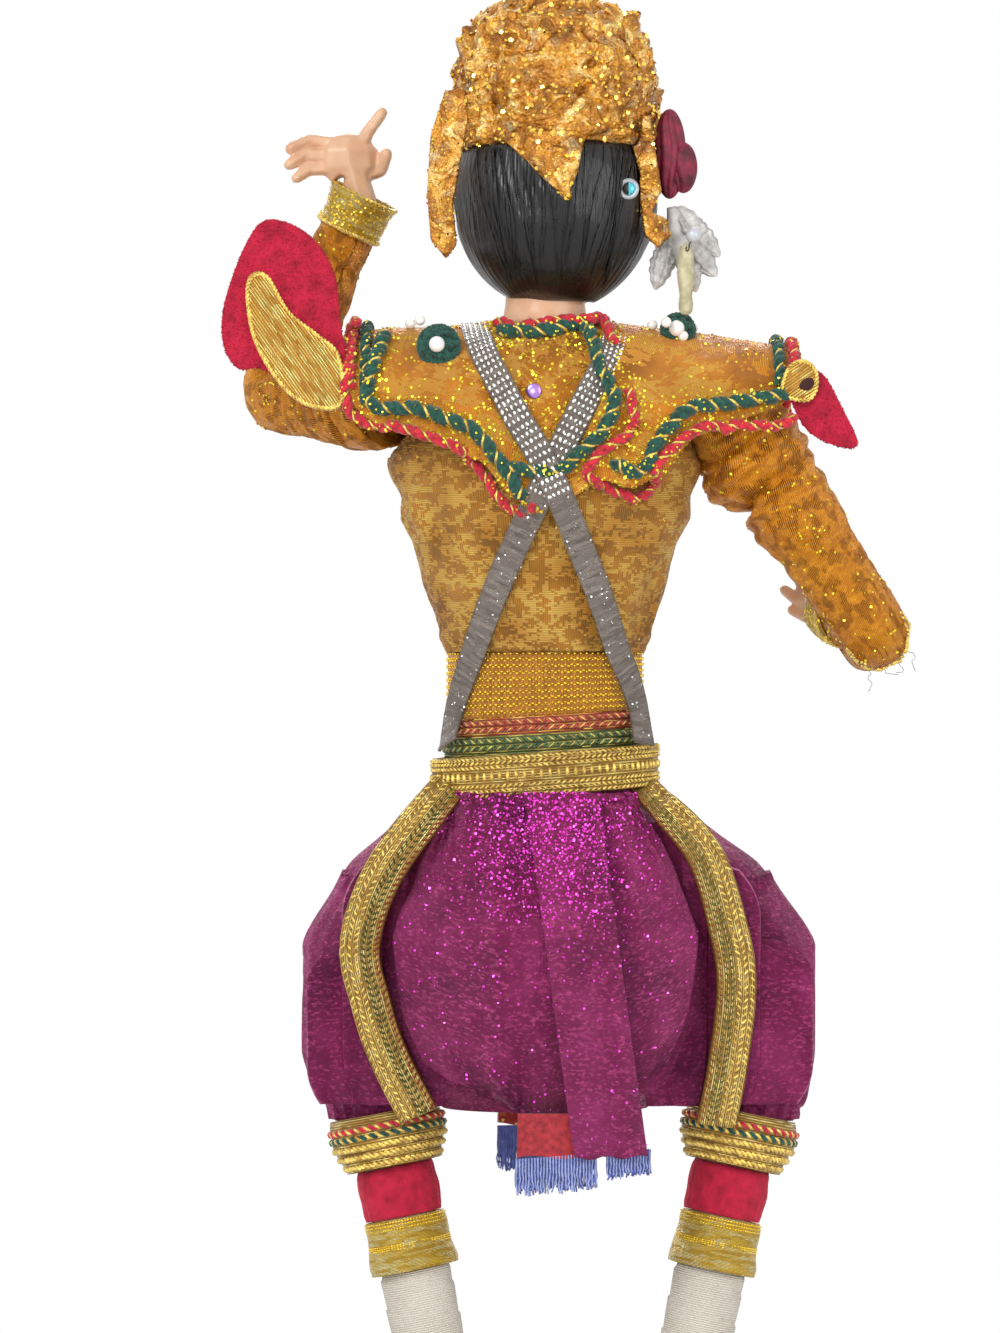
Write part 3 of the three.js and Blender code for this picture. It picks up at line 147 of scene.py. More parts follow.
class Nodes:
    """A node tree, with short words to fill it."""

    PREFIX = "ShaderNode"
    MATHS = "Math"

    def __init__(self, tree):
        self.tree = tree

    def feed(self, socket, value):
        if isinstance(value, bpy.types.NodeSocket):
            self.tree.links.new(value, socket)
        else:
            socket.default_value = value

    def node(self, kind, inputs=(), **settings):
        made = self.tree.nodes.new(self.PREFIX + kind)
        for key, value in settings.items():
            setattr(made, key, value)
        for key, value in dict(inputs).items():
            self.feed(made.inputs[key], value)
        return made

    def maths(self, operation, *values):
        return self.node(self.MATHS, dict(enumerate(values)), operation=operation).outputs[0]


class Finish(Nodes):
    """A material and the pattern nodes that shade it."""

    def __init__(self, name, colour, roughness=0.6, metallic=0.0, **extra):
        self.material = bpy.data.materials.new(name)
        self.material.use_nodes = True
        super().__init__(self.material.node_tree)
        self.shader = self.tree.nodes["Principled BSDF"]
        sockets = {"Base Color": paint(colour), "Roughness": roughness, "Metallic": metallic}
        sockets.update({key.replace("_", " ").title(): value for key, value in extra.items()})
        for key, value in sockets.items():
            self.shader.inputs[key.replace("Ior", "IOR")].default_value = value

    def spread(self, size, along="Object", turn=0.0):
        """Pattern coordinates in which one unit is size, in millimetres, on the piece or along its cloth."""
        unit = MM if along == "Object" else 1.0
        sizes = size if isinstance(size, (tuple, list)) else (size,) * 3
        scale = tuple(1 / (unit * s) for s in sizes)
        source = self.node("TexCoord").outputs[along]
        return self.node("Mapping", {"Vector": source, "Scale": scale, "Rotation": (0, 0, turn)}).outputs[0]

    def grain(self, size, detail=3.0, along="Object", **inputs):
        values = {"Vector": self.spread(size, along), "Scale": 1.0, "Detail": detail, **inputs}
        return self.node("TexNoise", values).outputs["Fac"]

    def cells(self, size, along="Object", out="Color"):
        return self.node("TexVoronoi", {"Vector": self.spread(size, along), "Scale": 1.0}).outputs[out]

    def stripes(self, size, way, distortion=0.0, turn=0.0):
        """Threads or ribs that run along the cloth, one for each size in millimetres."""
        values = {"Vector": self.spread(size, "UV", turn), "Scale": 0.5, "Distortion": distortion,
                  "Detail": 1.0, "Detail Scale": 0.6}
        return self.node("TexWave", values, bands_direction=way).outputs["Fac"]

    def tones(self, factor, *stops):
        made = self.node("ValToRGB", {"Fac": factor})
        ramp = made.color_ramp
        while len(ramp.elements) < len(stops):
            ramp.elements.new(0.5)
        for element, (position, colour) in zip(ramp.elements, stops):
            element.position = position
            element.color = paint(colour) if isinstance(colour, str) else (colour, colour, colour, 1)
        return made.outputs["Color"]

    def blend(self, factor, first, second):
        made = self.node("Mix", data_type="RGBA")
        for place, value in ((0, factor), (6, first), (7, second)):
            self.feed(made.inputs[place], paint(value) if isinstance(value, str) else value)
        return made.outputs[2]

    def coloured(self, socket):
        self.tree.links.new(socket, self.shader.inputs["Base Color"])
        return self

    def rough(self, socket):
        self.tree.links.new(socket, self.shader.inputs["Roughness"])
        return self

    def raised(self, *reliefs):
        """Relief from (height pattern, depth in millimetres) pairs."""
        normal = None
        for pattern, depth in reliefs:
            values = {"Height": pattern, "Distance": depth * MM, "Strength": 1.0}
            if normal is not None:
                values["Normal"] = normal
            normal = self.node("Bump", values).outputs[0]
        self.tree.links.new(normal, self.shader.inputs["Normal"])
        return self


def gilt():
    """Gold foil pressed over lumps, with painted light in its colour: a painted highlight, pale on the high
    faces, and painted shade, dark orange in the folds.
    """
    f = Finish("gilt_foil", "d09a3a", 0.3, 0.55, specular_ior_level=0.7)
    facet = f.cells((1.9, 1.9, 1.5))
    fine = f.cells(0.6)
    lump = f.grain(5.0, 5, Distortion=1.4)
    # Painted shade and highlight: the colour follows the lumps of the relief, dark orange in the folds and
    # pale on the high faces; the facets are coloured up to near white as painted glints
    base = f.tones(lump, (0.32, "5e3208"), (0.45, "a9681a"), (0.57, "d9982e"), (0.7, "ffdf90"))
    sparkle = f.tones(facet, (0.05, "8a4e10"), (0.6, "cf8f2c"), (0.92, "fff0b4"))
    f.coloured(f.blend(0.34, base, sparkle))
    f.rough(f.tones(fine, (0.2, 0.48), (0.8, 0.16)))
    return f.raised((lump, 2.4), (facet, 0.3), (f.cells(0.6, out="Distance"), 0.15))


def flakes(name, colour, metallic=1.0, roughness=0.14):
    return Finish(name, colour, roughness, metallic, specular_ior_level=0.8)


def hair():
    f = Finish("hair_gloss", "07080b", 0.3, 0.0, specular_ior_level=0.35, coat_weight=0.35,
               coat_roughness=0.1)
    strand = f.grain((0.22, 0.22, 5.0), 4)
    # The strands run in streaks from black to a brownish grey: partly their own tone, partly painted sheen
    f.coloured(f.tones(strand, (0.35, "020203"), (0.62, "090a0d"), (0.82, "1c1a18")))
    f.rough(f.tones(f.grain(5.0, 2), (0.35, 0.24), (0.7, 0.5)))
    return f.raised((strand, 0.1), (f.grain(2.6, 2), 0.1))


def flesh():
    f = Finish("painted_flesh", "e0b48f", 0.42, 0.0, subsurface_weight=0.12, coat_weight=0.15)
    f.shader.inputs["Subsurface Radius"].default_value = (0.0016, 0.0008, 0.0005)
    f.coloured(f.tones(f.grain(6.0, 4), (0.3, "d5a380"), (0.55, "e2b793"), (0.8, "ecc8a8")))
    return f.raised((f.grain(0.6, 3), 0.03))


def brocade(name, low, mid, high, thread, tile=0.62, motif=4.0, glitter=0.86):
    """Brocade woven in small stepped blocks: threads run across the pale ones and up the dark ones."""
    f = Finish(name, mid, 0.6, 0.1, sheen_weight=0.06, specular_ior_level=0.3)
    place = f.node("TexCoord").outputs["UV"]
    block = f.node("VectorMath", {0: place, 1: (tile, tile * 0.7, tile)}, operation="SNAP").outputs[0]
    figure = {"Vector": block, "Scale": 1 / motif, "Detail": 4.0, "Roughness": 0.8}
    check = f.maths("GREATER_THAN", f.node("TexNoise", figure).outputs["Fac"], 0.5)
    up = f.stripes(thread, "X")
    over = f.stripes(thread, "Y")
    weave = f.blend(check, up, over)
    wear = f.grain(8.0, 4)
    dark = f.tones(wear, (0.32, low), (0.66, mid))
    pale = f.tones(wear, (0.34, mid), (0.68, high))
    ground = f.blend(check, dark, pale)
    lit = f.blend(f.maths("MULTIPLY", weave, 0.7), f.blend(0.6, ground, low), ground)
    # Painted glints: cells past the glitter share are coloured pale yellow and made smoother, for the glints
    # of the metal thread
    glint = f.cells(0.4)
    shine = f.maths("GREATER_THAN", glint, glitter)
    f.coloured(f.blend(shine, lit, "ffd86a"))
    f.rough(f.tones(glint, (0.3, 0.65), (0.95, 0.25)))
    return f.raised((weave, 0.14), (check, 0.12), (f.grain(2.4, 3), 0.15))


def ribbed(name, low, mid, high, pitch=0.55, metallic=0.35, turn=0.0, glitter=0.9):
    """Fine ribs with broken dark floats between them, as on the sleeves."""
    f = Finish(name, mid, 0.5, metallic, specular_ior_level=0.35)
    rib = f.stripes(pitch, "X", 0.3, turn)
    floats = f.grain((2.2, 3.2, 1.0), 2, "UV")
    zigzag = f.cells((1.1, 0.6, 1.0), "UV")
    ground = f.blend(0.5, f.tones(f.grain(9.0, 3), (0.3, mid), (0.5, mid), (0.72, high)),
                     f.tones(zigzag, (0.2, mid), (0.8, high)))
    broken = f.maths("MULTIPLY", rib, f.tones(floats, (0.44, 1.0), (0.5, 0.2)))
    lit = f.blend(broken, ground, low)
    # Painted glints: cells past the glitter share are coloured pale yellow and made smoother, for the glints
    # of the metal thread
    glint = f.cells(0.45)
    shine = f.maths("GREATER_THAN", glint, glitter)
    f.coloured(f.blend(shine, lit, "ffdf72"))
    f.rough(f.tones(floats, (0.35, 0.6), (0.65, 0.26)))
    return f.raised((rib, 0.14), (floats, 0.12), (f.grain(1.8, 3), 0.18))


def lame(name, low, mid, high, pitch=0.7, way="Y", metallic=0.4):
    """Metal-thread ribbon: slubs of foil laid in rows."""
    f = Finish(name, mid, 0.36, metallic, specular_ior_level=0.6)
    rib = f.stripes(pitch, way, 0.25)
    long_way = (2.4, 0.42, 1.0) if way == "Y" else (0.42, 2.4, 1.0)
    slub = f.cells(long_way, "UV")
    f.coloured(f.blend(rib, low, f.tones(slub, (0.1, low), (0.45, mid), (0.85, high))))
    f.rough(f.tones(slub, (0.1, 0.5), (0.8, 0.2)))
    return f.raised((rib, 0.2), (slub, 0.1), (f.grain(3.5, 2), 0.2))


def purple_cloth():
    """Magenta lame: a plain weave of rose and dark thread with foil in it."""
    f = Finish("purple_lame", "9e1d61", 0.45, 0.3, sheen_weight=0.2, sheen_roughness=0.35)
    f.shader.inputs["Sheen Tint"].default_value = paint("f080c0")
    over = f.stripes(0.3, "Y", 0.4)
    up = f.stripes(0.3, "X", 0.4)
    fleck = f.cells((0.6, 0.3, 0.5), "UV")
    cloud = f.grain(9.0, 5)
    ground = f.tones(cloud, (0.28, "6c0d44"), (0.5, "9e1d61"), (0.72, "c33b83"))
    lit = f.blend(f.maths("MULTIPLY", over, up), f.blend(0.55, ground, "500836"), ground)
    # The foil flecks are coloured bright pink: partly the foil's own colour, partly painted glints
    f.coloured(f.blend(f.tones(fleck, (0.6, 0.0), (1.0, 0.6)), lit, "f261aa"))
    f.rough(f.tones(fleck, (0.2, 0.6), (0.9, 0.26)))
    return f.raised((over, 0.08), (up, 0.08), (f.grain(2.8, 3), 0.25))


def velvet(name, low, high):
    f = Finish(name, high, 0.95, 0.0, sheen_weight=0.9, sheen_roughness=0.3)
    f.shader.inputs["Sheen Tint"].default_value = paint("ff6a80")
    f.coloured(f.tones(f.grain(2.4, 5), (0.25, low), (0.6, high)))
    return f.raised((f.grain(0.3, 4), 0.2), (f.grain(3.0, 3), 0.3))


def fibre(name, low, high, roughness=0.85, metallic=0.0, size=0.3):
    """Yarn, thread or wound cotton with its own small fibres."""
    f = Finish(name, high, roughness, metallic, sheen_weight=0.3)
    f.coloured(f.tones(f.grain(size * 4, 4), (0.3, low), (0.65, high)))
    return f.raised((f.grain(size, 4), 0.1))


def wound():
    """White cotton wound round the shins in fine turns."""
    f = Finish("wound_cotton", "d2cabc", 0.9, 0.0, sheen_weight=0.1)
    turns = f.stripes(0.62, "Y", 0.8)
    f.coloured(f.blend(turns, f.tones(f.grain(7.0, 2), (0.3, "bab1a2"), (0.7, "d6cec0")), "e2dbce"))
    return f.raised((turns, 0.12), (f.grain(0.4, 3), 0.05))


def crinkled(name, low, high, roughness=0.5, metallic=0.0):
    f = Finish(name, high, roughness, metallic)
    f.coloured(f.tones(f.grain(2.0, 3), (0.3, low), (0.7, high)))
    return f.raised((f.grain(1.2, 4), 0.3))


def lacquered():
    f = Finish("lacquered_wood", "663018", 0.28, 0.0, coat_weight=0.6, coat_roughness=0.1)
    ring = f.grain((9.0, 1.2, 9.0), 6, Distortion=1.4)
    f.coloured(f.tones(ring, (0.3, "3d190d"), (0.5, "683319"), (0.72, "8d4c28")))
    return f.raised((ring, 0.05))


GILT = gilt()
HAIR = hair()
FLESH = flesh()
JACKET = brocade("jacket_brocade", "7e5415", "d79335", "ffd76e", 0.5, 0.5, 2.4, 0.96)
CAPE = brocade("cape_brocade", "aa6615", "ffa42f", "ffc959", 0.4, 0.5, 5.0, 0.95)
PANEL = brocade("panel_brocade", "9c2433", "cf5033", "f49c42", 0.34, motif=5.0, glitter=0.84)
SLEEVE = ribbed("sleeve_brocade", "613103", "c7780d", "f9aa26", 0.5, 0.2, 0.25, 0.95)
LAME = lame("gold_lame", "ad7825", "edb449", "ffff9c")
AMBER_LAME = lame("amber_lame", "b17424", "da9334", "f5ad45", pitch=0.4, way="X", metallic=0.2)
GIMP = lame("gold_gimp", "886527", "cda34c", "ffed95", pitch=0.7)
GREEN_GOLD = lame("green_gold_braid", "354522", "828540", "eed973", pitch=0.8)
RED_GOLD = lame("red_gold_braid", "7e3227", "d26735", "ffcf6a", pitch=0.8)
SILVER = lame("silver_braid", "9a9890", "cfcdc6", "ffffff", pitch=0.5, way="X")
RIBBON_FOIL = flakes("ribbon_foil", "f8d232", 0.5, 0.25)
SILVER_SLUB = flakes("silver_slub", "f4f3ee", 0.7, 0.22)
SHEER = lame("sheer_ribbon", "776c65", "a1948a", "c6baaf", pitch=0.34, way="X", metallic=0.1)
PURPLE = purple_cloth()
VELVET = velvet("crimson_velvet", "900c28", "c01a3c")
LINING = fibre("red_lining", "7d1420", "b02c35", size=0.25)
COTTON = wound()
RED_YARN = fibre("red_yarn", "931022", "df2239", size=0.2)
GREEN_YARN = fibre("green_yarn", "042c25", "115747", size=0.2)
GOLD_YARN = fibre("gold_thread", "ad832c", "ffe373", 0.36, 0.45)
FOIL_CLOTH = lame("woven_foil", "c69c33", "ffd94d", "ffffc6", pitch=0.36, metallic=0.3)
DARK_THREAD = fibre("dark_thread", "2e1f15", "422e1b", 0.6, 0.2)
BLUE_THREAD = fibre("blue_thread", "38428e", "5f70bc", 0.55)
WHITE_THREAD = fibre("pale_thread", "7482be", "a2aedc", 0.5)
FROND = crinkled("white_petal", "a6a4a2", "dedbd7", 0.5)
WINE = crinkled("wine_petal", "4c0a1e", "8c1c3c", 0.6)
BUD = crinkled("cream_bud", "aaa27c", "d8d0ae", 0.5)
FROSTED = Finish("frosted_bead", "c2c6cc", 0.18, 0.0, coat_weight=0.6)
PEARL = Finish("white_bead", "f2f0ea", 0.18, 0.0, coat_weight=0.6)
STONE = Finish("aurora_stone", "59d6e8", 0.08, 0.85, coat_weight=0.5)
SETTING = Finish("glass_setting", "a4a9ae", 0.3, 0.3)
SEQUIN = flakes("purple_sequin", "b78be0", 0.8, 0.2)
GOLD_FLAKE = flakes("gold_flake", "ffd860")
YELLOW_FLAKE = flakes("yellow_flake", "f4e234", 0.6, 0.3)
PINK_FLAKE = flakes("magenta_flake", "ff4fe0", 0.8, 0.22)
STEEL = Finish("drawn_wire", "9a9a96", 0.35, 1.0)
WOOD = lacquered()
IVORY = Finish("eye_white", "f3ede2", 0.2, 0.0, coat_weight=0.5)
INK = Finish("painted_black", "15110f", 0.3, 0.0)
LIP = Finish("painted_lip", "b8322f", 0.35, 0.0)
# Painted shade, for the inside of the mouth of the right wing's ribbon
MOUTH_SHADE = Finish("dark_hollow", "3a1a10", 0.9, 0.0)


# ---- forms laid out one by one
def link(obj):
    bpy.context.scene.collection.objects.link(obj)
    return obj


def smoothed(name, mesh, finish):
    mesh.polygons.foreach_set("use_smooth", [True] * len(mesh.polygons))
    if finish is not None:
        mesh.materials.clear()
        mesh.materials.append(finish.material)
    return link(bpy.data.objects.new(name, mesh))


def bare_mesh(name, points, faces=(), edges=()):
    mesh = bpy.data.meshes.new(name)
    mesh.from_pydata([tuple(p) for p in points.reshape(-1, 3)], list(edges), list(faces))
    return mesh


def lay_flat(mesh, places):
    """Gives the corners of a mesh their points' places on the flat cloth."""
    corner = np.zeros(len(mesh.loops), np.int32)
    mesh.loops.foreach_get("vertex_index", corner)
    mesh.uv_layers[0].data.foreach_set("uv", np.asarray(places, np.float32)[corner].ravel())


def shaped(name, points, faces, finish=None, uv=None, recalc=True):
    """A mesh object from points in millimetres; uv holds one place on the cloth for each point."""
    mesh = bare_mesh(name, np.asarray(points, float) * MM, faces)
    if uv is not None:
        mesh.uv_layers.new(name="cloth")
        lay_flat(mesh, uv)
    if recalc:
        form = bmesh.new()
        form.from_mesh(mesh)
        bmesh.ops.recalc_face_normals(form, faces=form.faces)
        form.to_mesh(mesh)
        form.free()
    return smoothed(name, mesh, finish)


def fit(obj, body, slot, *nodes):
    """Hangs a finished piece on its body, in place of the solids that it stands for."""
    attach(obj, body)
    if nodes:
        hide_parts(*nodes)
    return obj


def flow(rows, at, column=1):
    """Rows of (place, value, ...) followed smoothly, for an array of places."""
    table = np.array(rows, float)
    at = np.clip(np.asarray(at, float), table[0, 0], table[-1, 0])
    i = np.clip(np.searchsorted(table[:, 0], at, side="right"), 1, len(table) - 1)
    span = (at - table[i - 1, 0]) / (table[i, 0] - table[i - 1, 0])
    ease = 0.5 * span + 0.5 * span * span * (3 - 2 * span)
    return table[i - 1, column] + ease * (table[i, column] - table[i - 1, column])


def hump(x, middle, width):
    """1 at the middle, falling away softly over the width."""
    return np.exp(-((x - middle) / width) ** 2)


def unit(v):
    return v / np.maximum(np.linalg.norm(v, axis=-1, keepdims=True), 1e-9)


def wander(points, size, seed=0, octaves=3):
    """Soft uneven numbers from about -1 to 1 over points in millimetres."""
    dice = np.random.default_rng(seed)
    total = np.zeros(points.shape[:-1])
    for octave in range(octaves):
        for _ in range(4):
            way = unit(dice.normal(size=3)) * TURN / (size * 0.62 ** octave)
            total += np.sin(points @ way + dice.uniform(0, TURN)) * 0.6 ** octave
    return total / (4 * 0.8)


def angles(count):
    """Evenly spaced directions round a whole turn."""
    return np.arange(count) / count * TURN


def rings_of(sides, rows):
    """Angles across and shares from 0 to 1 along, for a form made of rings."""
    return np.meshgrid(angles(sides), np.linspace(0, 1, rows))


def grid(place, across, along):
    """Points of place(u, v) with u across and v along, as rows of an array."""
    u, v = np.meshgrid(np.linspace(0, 1, across), np.linspace(0, 1, along))
    return np.stack(np.broadcast_arrays(*place(u, v)), axis=-1).astype(float)


def facing(points, closed=False):
    """The outward direction at each point of a grid, taken from its neighbours."""
    if closed:
        side = np.roll(points, -1, 1) - np.roll(points, 1, 1)
    else:
        side = np.gradient(points, axis=1)
    return unit(np.cross(side, np.gradient(points, axis=0)))


def lengths(points, closed=False):
    """Each grid point's place on the flat cloth, in millimetres."""
    ring = np.concatenate([points, points[:, :1]], 1) if closed else points
    steps = np.linalg.norm(np.diff(ring, axis=1), axis=2).mean(axis=0)
    rises = np.linalg.norm(np.diff(points, axis=0), axis=2).mean(axis=1)
    u = np.concatenate([[0], np.cumsum(steps)])[: points.shape[1]]
    v = np.concatenate([[0], np.cumsum(rises)])
    return np.stack(np.meshgrid(u, v), axis=-1)


def quads(rows, columns, start=0, closed=False):
    """The faces of a grid whose points are numbered row by row from start."""
    last = columns if closed else columns - 1
    faces = []
    for j in range(rows - 1):
        for i in range(last):
            k = (i + 1) % columns
            faces.append((start + j * columns + i, start + j * columns + k,
                          start + (j + 1) * columns + k, start + (j + 1) * columns + i))
    return faces


def cloth(name, points, thickness, finish, closed=False):
    """A sheet with its own thickness over a grid; closed sheets go round the body."""
    rows, columns = points.shape[:2]
    out = facing(points, closed)
    layers = [points + out * thickness / 2, points - out * thickness / 2]
    flat = lengths(points, closed).reshape(-1, 2)
    count = rows * columns
    faces = quads(rows, columns, 0, closed) + quads(rows, columns, count, closed)
    last = columns if closed else columns - 1
    for j in (0, rows - 1):
        for i in range(last):
            a, b = j * columns + i, j * columns + (i + 1) % columns
            faces.append((a, b, count + b, count + a))
    if not closed:
        for i in (0, columns - 1):
            for j in range(rows - 1):
                a, b = j * columns + i, (j + 1) * columns + i
                faces.append((a, b, count + b, count + a))
    everything = np.concatenate([layer.reshape(-1, 3) for layer in layers])
    return shaped(name, everything, faces, finish, np.concatenate([flat, flat]))


def skin(name, points, finish):
    """A closed form from a grid of rings, with its ends drawn together."""
    rows, columns = points.shape[:2]
    flat = lengths(points, True).reshape(-1, 2)
    faces = quads(rows, columns, 0, True)
    body = points.reshape(-1, 3)
    hubs = np.stack([points[0].mean(axis=0), points[-1].mean(axis=0)])
    count = len(body)
    for i in range(columns):
        k = (i + 1) % columns
        faces.append((k, i, count))
        faces.append(((rows - 1) * columns + i, (rows - 1) * columns + k, count + 1))
    body = np.concatenate([body, hubs])
    flat = np.concatenate([flat, flat[:1], flat[-1:]])
    return shaped(name, body, faces, finish, flat)


def frame_along(start, end):
    """Two directions square to the line from start to end, and the line's own."""
    along = unit(end - start)
    side = unit(np.cross(along, UP if abs(along[2]) < 0.9 else np.array([0, 1.0, 0])))
    return side, np.cross(along, side), along


def round_limb(start, end, profile, sides, rows, shape=None):
    """Rings round the line from start to end. Profile rows: distance along it, radius."""
    side, lift, along = frame_along(start, end)
    u, v = np.meshgrid(angles(sides), np.linspace(profile[0][0], profile[-1][0], rows))
    radius = flow(profile, v)
    if shape is not None:
        radius = radius * shape(u, v)
    ring = np.cos(u)[..., None] * side + np.sin(u)[..., None] * lift
    return start + along * v[..., None] + ring * radius[..., None]


def hoops(profile, sides):
    """Level rings round the upright, one for each radius and height of the profile."""
    u = angles(sides)
    return np.array([np.stack([r * np.cos(u), r * np.sin(u), np.full(sides, z)], -1) for r, z in profile])


def lathe(name, centre, profile, finish, sides):
    """A turned form round the upright; rows of the profile: radius, height."""
    return skin(name, hoops(profile, sides) + centre, finish)


def ball(name, centre, radii, finish, across=24, down=16):
    t = np.linspace(0.04, math.pi - 0.04, down)
    return skin(name, hoops(np.stack([np.sin(t), -np.cos(t)], -1), across) * radii + centre, finish)


def joined(name, pieces):
    """Several pieces made into one mesh, each with its own finish."""
    form = bmesh.new()
    materials = []
    for obj in pieces:
        start = len(form.faces)
        form.from_mesh(obj.data)
        form.faces.ensure_lookup_table()
        materials += [material for material in obj.data.materials if material not in materials]
        for face in form.faces[start:]:
            face.material_index = materials.index(obj.data.materials[face.material_index])
    mesh = bpy.data.meshes.new(name)
    form.to_mesh(mesh)
    form.free()
    for obj in pieces:
        bpy.data.objects.remove(obj)
    for material in materials:
        mesh.materials.append(material)
    return link(bpy.data.objects.new(name, mesh))


def settled(name, obj, finish=None):
    """The evaluated shape of an object as a plain mesh, which takes the object's place."""
    bpy.context.view_layer.update()
    mesh = bpy.data.meshes.new_from_object(obj.evaluated_get(bpy.context.evaluated_depsgraph_get()))
    bpy.data.objects.remove(obj)
    return smoothed(name, mesh, finish)


def softened(name, node, finish, voxel, smoothing):
    """A solid's own form with its edges worn round, as a moulded or carved piece has."""
    mesh = frame["nodes"][node].data.copy()
    form = bmesh.new()
    form.from_mesh(mesh)
    bmesh.ops.remove_doubles(form, verts=form.verts, dist=1e-6)
    form.to_mesh(mesh)
    form.free()
    obj = link(bpy.data.objects.new(name + "_blank", mesh))
    remesh = obj.modifiers.new("clay", "REMESH")
    remesh.mode, remesh.voxel_size = "VOXEL", voxel * MM
    smooth = obj.modifiers.new("worn", "SMOOTH")
    smooth.iterations, smooth.factor = smoothing, 0.5
    return settled(name, obj, finish)


# Where a trim starts when its first point misses the surface, and how far off the rays come from
OFF_GROUND, RAY_START = 10.0, 80


def cast(objs):
    """A tree of surfaces that trims are laid on."""
    points, faces = [], []
    for obj in objs:
        base = len(points)
        points += [v.co / MM for v in obj.data.vertices]
        faces += [tuple(base + i for i in p.vertices) for p in obj.data.polygons]
    return BVHTree.FromPolygons(points, faces)


def lay_on(tree, places, lift, front=1):
    """Points (x, z) dropped on a surface from the back (1) or the front (-1), standing off by lift."""
    made = []
    for x, z in places:
        hit, normal, _, _ = tree.ray_cast(Vector((x, RAY_START * front, z)), Vector((0, -front, 0)))
        if hit is None:
            made.append(np.array([x, made[-1][1] if made else OFF_GROUND * front, z]))
        else:
            normal = normal if normal.y * front > 0 else -normal
            made.append(np.array(hit + normal * lift))
    return np.array(made)


def finer(points, step=0.6, closed=False):
    """A smooth line through the points, with a point every step."""
    points = np.array(points, float)
    if closed:
        ring = np.concatenate([points[-1:], points, points[:2]])
    else:
        ring = np.concatenate([2 * points[:1] - points[1:2], points, 2 * points[-1:] - points[-2:-1]])
    made = []
    for i in range(1, len(ring) - 2):
        a, b, c, d = ring[i - 1:i + 3]
        count = max(2, int(np.linalg.norm(c - b) / step))
        t = (np.arange(count) / count)[:, None]
        made.append(0.5 * (2 * b + (c - a) * t + (2 * a - 5 * b + 4 * c - d) * t ** 2
                           + (3 * b - a - 3 * c + d) * t ** 3))
    made = np.concatenate(made)
    return made if closed else np.concatenate([made, points[-1:]])


# ---- repeats made by node trees
class Recipe(Nodes):
    """A geometry node tree with named inputs."""

    PREFIX = ""
    MATHS = "ShaderNodeMath"
    KINDS = {float: "Float", int: "Int", str: "Object", tuple: "Vector", type(None): "Material"}

    def __init__(self, name, **inputs):
        super().__init__(bpy.data.node_groups.new(name, "GeometryNodeTree"))
        face = self.tree.interface
        for way in ("INPUT", "OUTPUT"):
            face.new_socket("Geometry", in_out=way, socket_type="NodeSocketGeometry")
        self.sockets = {}
        for key, value in {**inputs, "finish": None}.items():
            kind = "NodeSocket" + self.KINDS[type(value)]
            self.sockets[key] = face.new_socket(key, in_out="INPUT", socket_type=kind).identifier
        self.start = self.tree.nodes.new("NodeGroupInput").outputs
        self.end = self.tree.nodes.new("NodeGroupOutput")

    def vectors(self, operation, first, second=None, scale=None):
        inputs = {0: first}
        if second is not None:
            inputs[1] = second
        if scale is not None:
            inputs["Scale"] = scale
        return self.node("ShaderNodeVectorMath", inputs, operation=operation).outputs[0]

    def chance(self, low, high, seed):
        return self.node("FunctionNodeRandomValue", {2: low, 3: high, "Seed": seed}).outputs[1]

    def layer(self, name, kind):
        """What a laid-out mesh says, by the name of its attribute."""
        return self.node("GeometryNodeInputNamedAttribute", {"Name": name}, data_type=kind).outputs[0]

    def tube(self, line, sides):
        ring = self.node("GeometryNodeCurvePrimitiveCircle",
                         {"Resolution": sides, "Radius": self.start["radius"]}).outputs[0]
        return self.node("GeometryNodeCurveToMesh",
                         {"Curve": line, "Profile Curve": ring, "Fill Caps": True}).outputs[0]

    def close(self, geometry):
        real = self.node("GeometryNodeRealizeInstances", {"Geometry": geometry}).outputs[0]
        done = self.node("GeometryNodeSetMaterial", {"Geometry": real, "Material": self.start["finish"]})
        self.tree.links.new(done.outputs[0], self.end.inputs[0])
        return self

    def make(self, name, source, finish, **values):
        modifier = source.modifiers.new("pattern", "NODES")
        modifier.node_group = self.tree
        for key, value in {**values, "finish": finish.material}.items():
            modifier[self.sockets[key]] = value
        return settled(name, source)


def strand_recipe():
    """One ply of a cord, wound round the line that it follows."""
    r = Recipe("plied_strand", radius=0.0, offset=0.0, pitch=1.0, phase=0.0, step=1.0)
    line = r.node("GeometryNodeMeshToCurve", {0: r.start["Geometry"]}).outputs[0]
    even = r.node("GeometryNodeResampleCurve", {"Curve": line, "Length": r.start["step"]}, mode="LENGTH")
    walked = r.node("GeometryNodeSplineParameter").outputs["Length"]
    turns = r.maths("MULTIPLY", r.maths("DIVIDE", walked, r.start["pitch"]), TURN)
    angle = r.maths("ADD", turns, r.start["phase"])
    normal = r.node("GeometryNodeInputNormal").outputs[0]
    tangent = r.node("GeometryNodeInputTangent").outputs[0]
    other = r.vectors("CROSS_PRODUCT", tangent, normal)
    first, second = (r.vectors("SCALE", way,
                               scale=r.maths("MULTIPLY", r.maths(wave, angle), r.start["offset"]))
                     for way, wave in ((normal, "COSINE"), (other, "SINE")))
    moved = r.node("GeometryNodeSetPosition", {"Geometry": even.outputs[0],
                                               "Offset": r.vectors("ADD", first, second)})
    return r.close(r.tube(moved.outputs[0], 7))


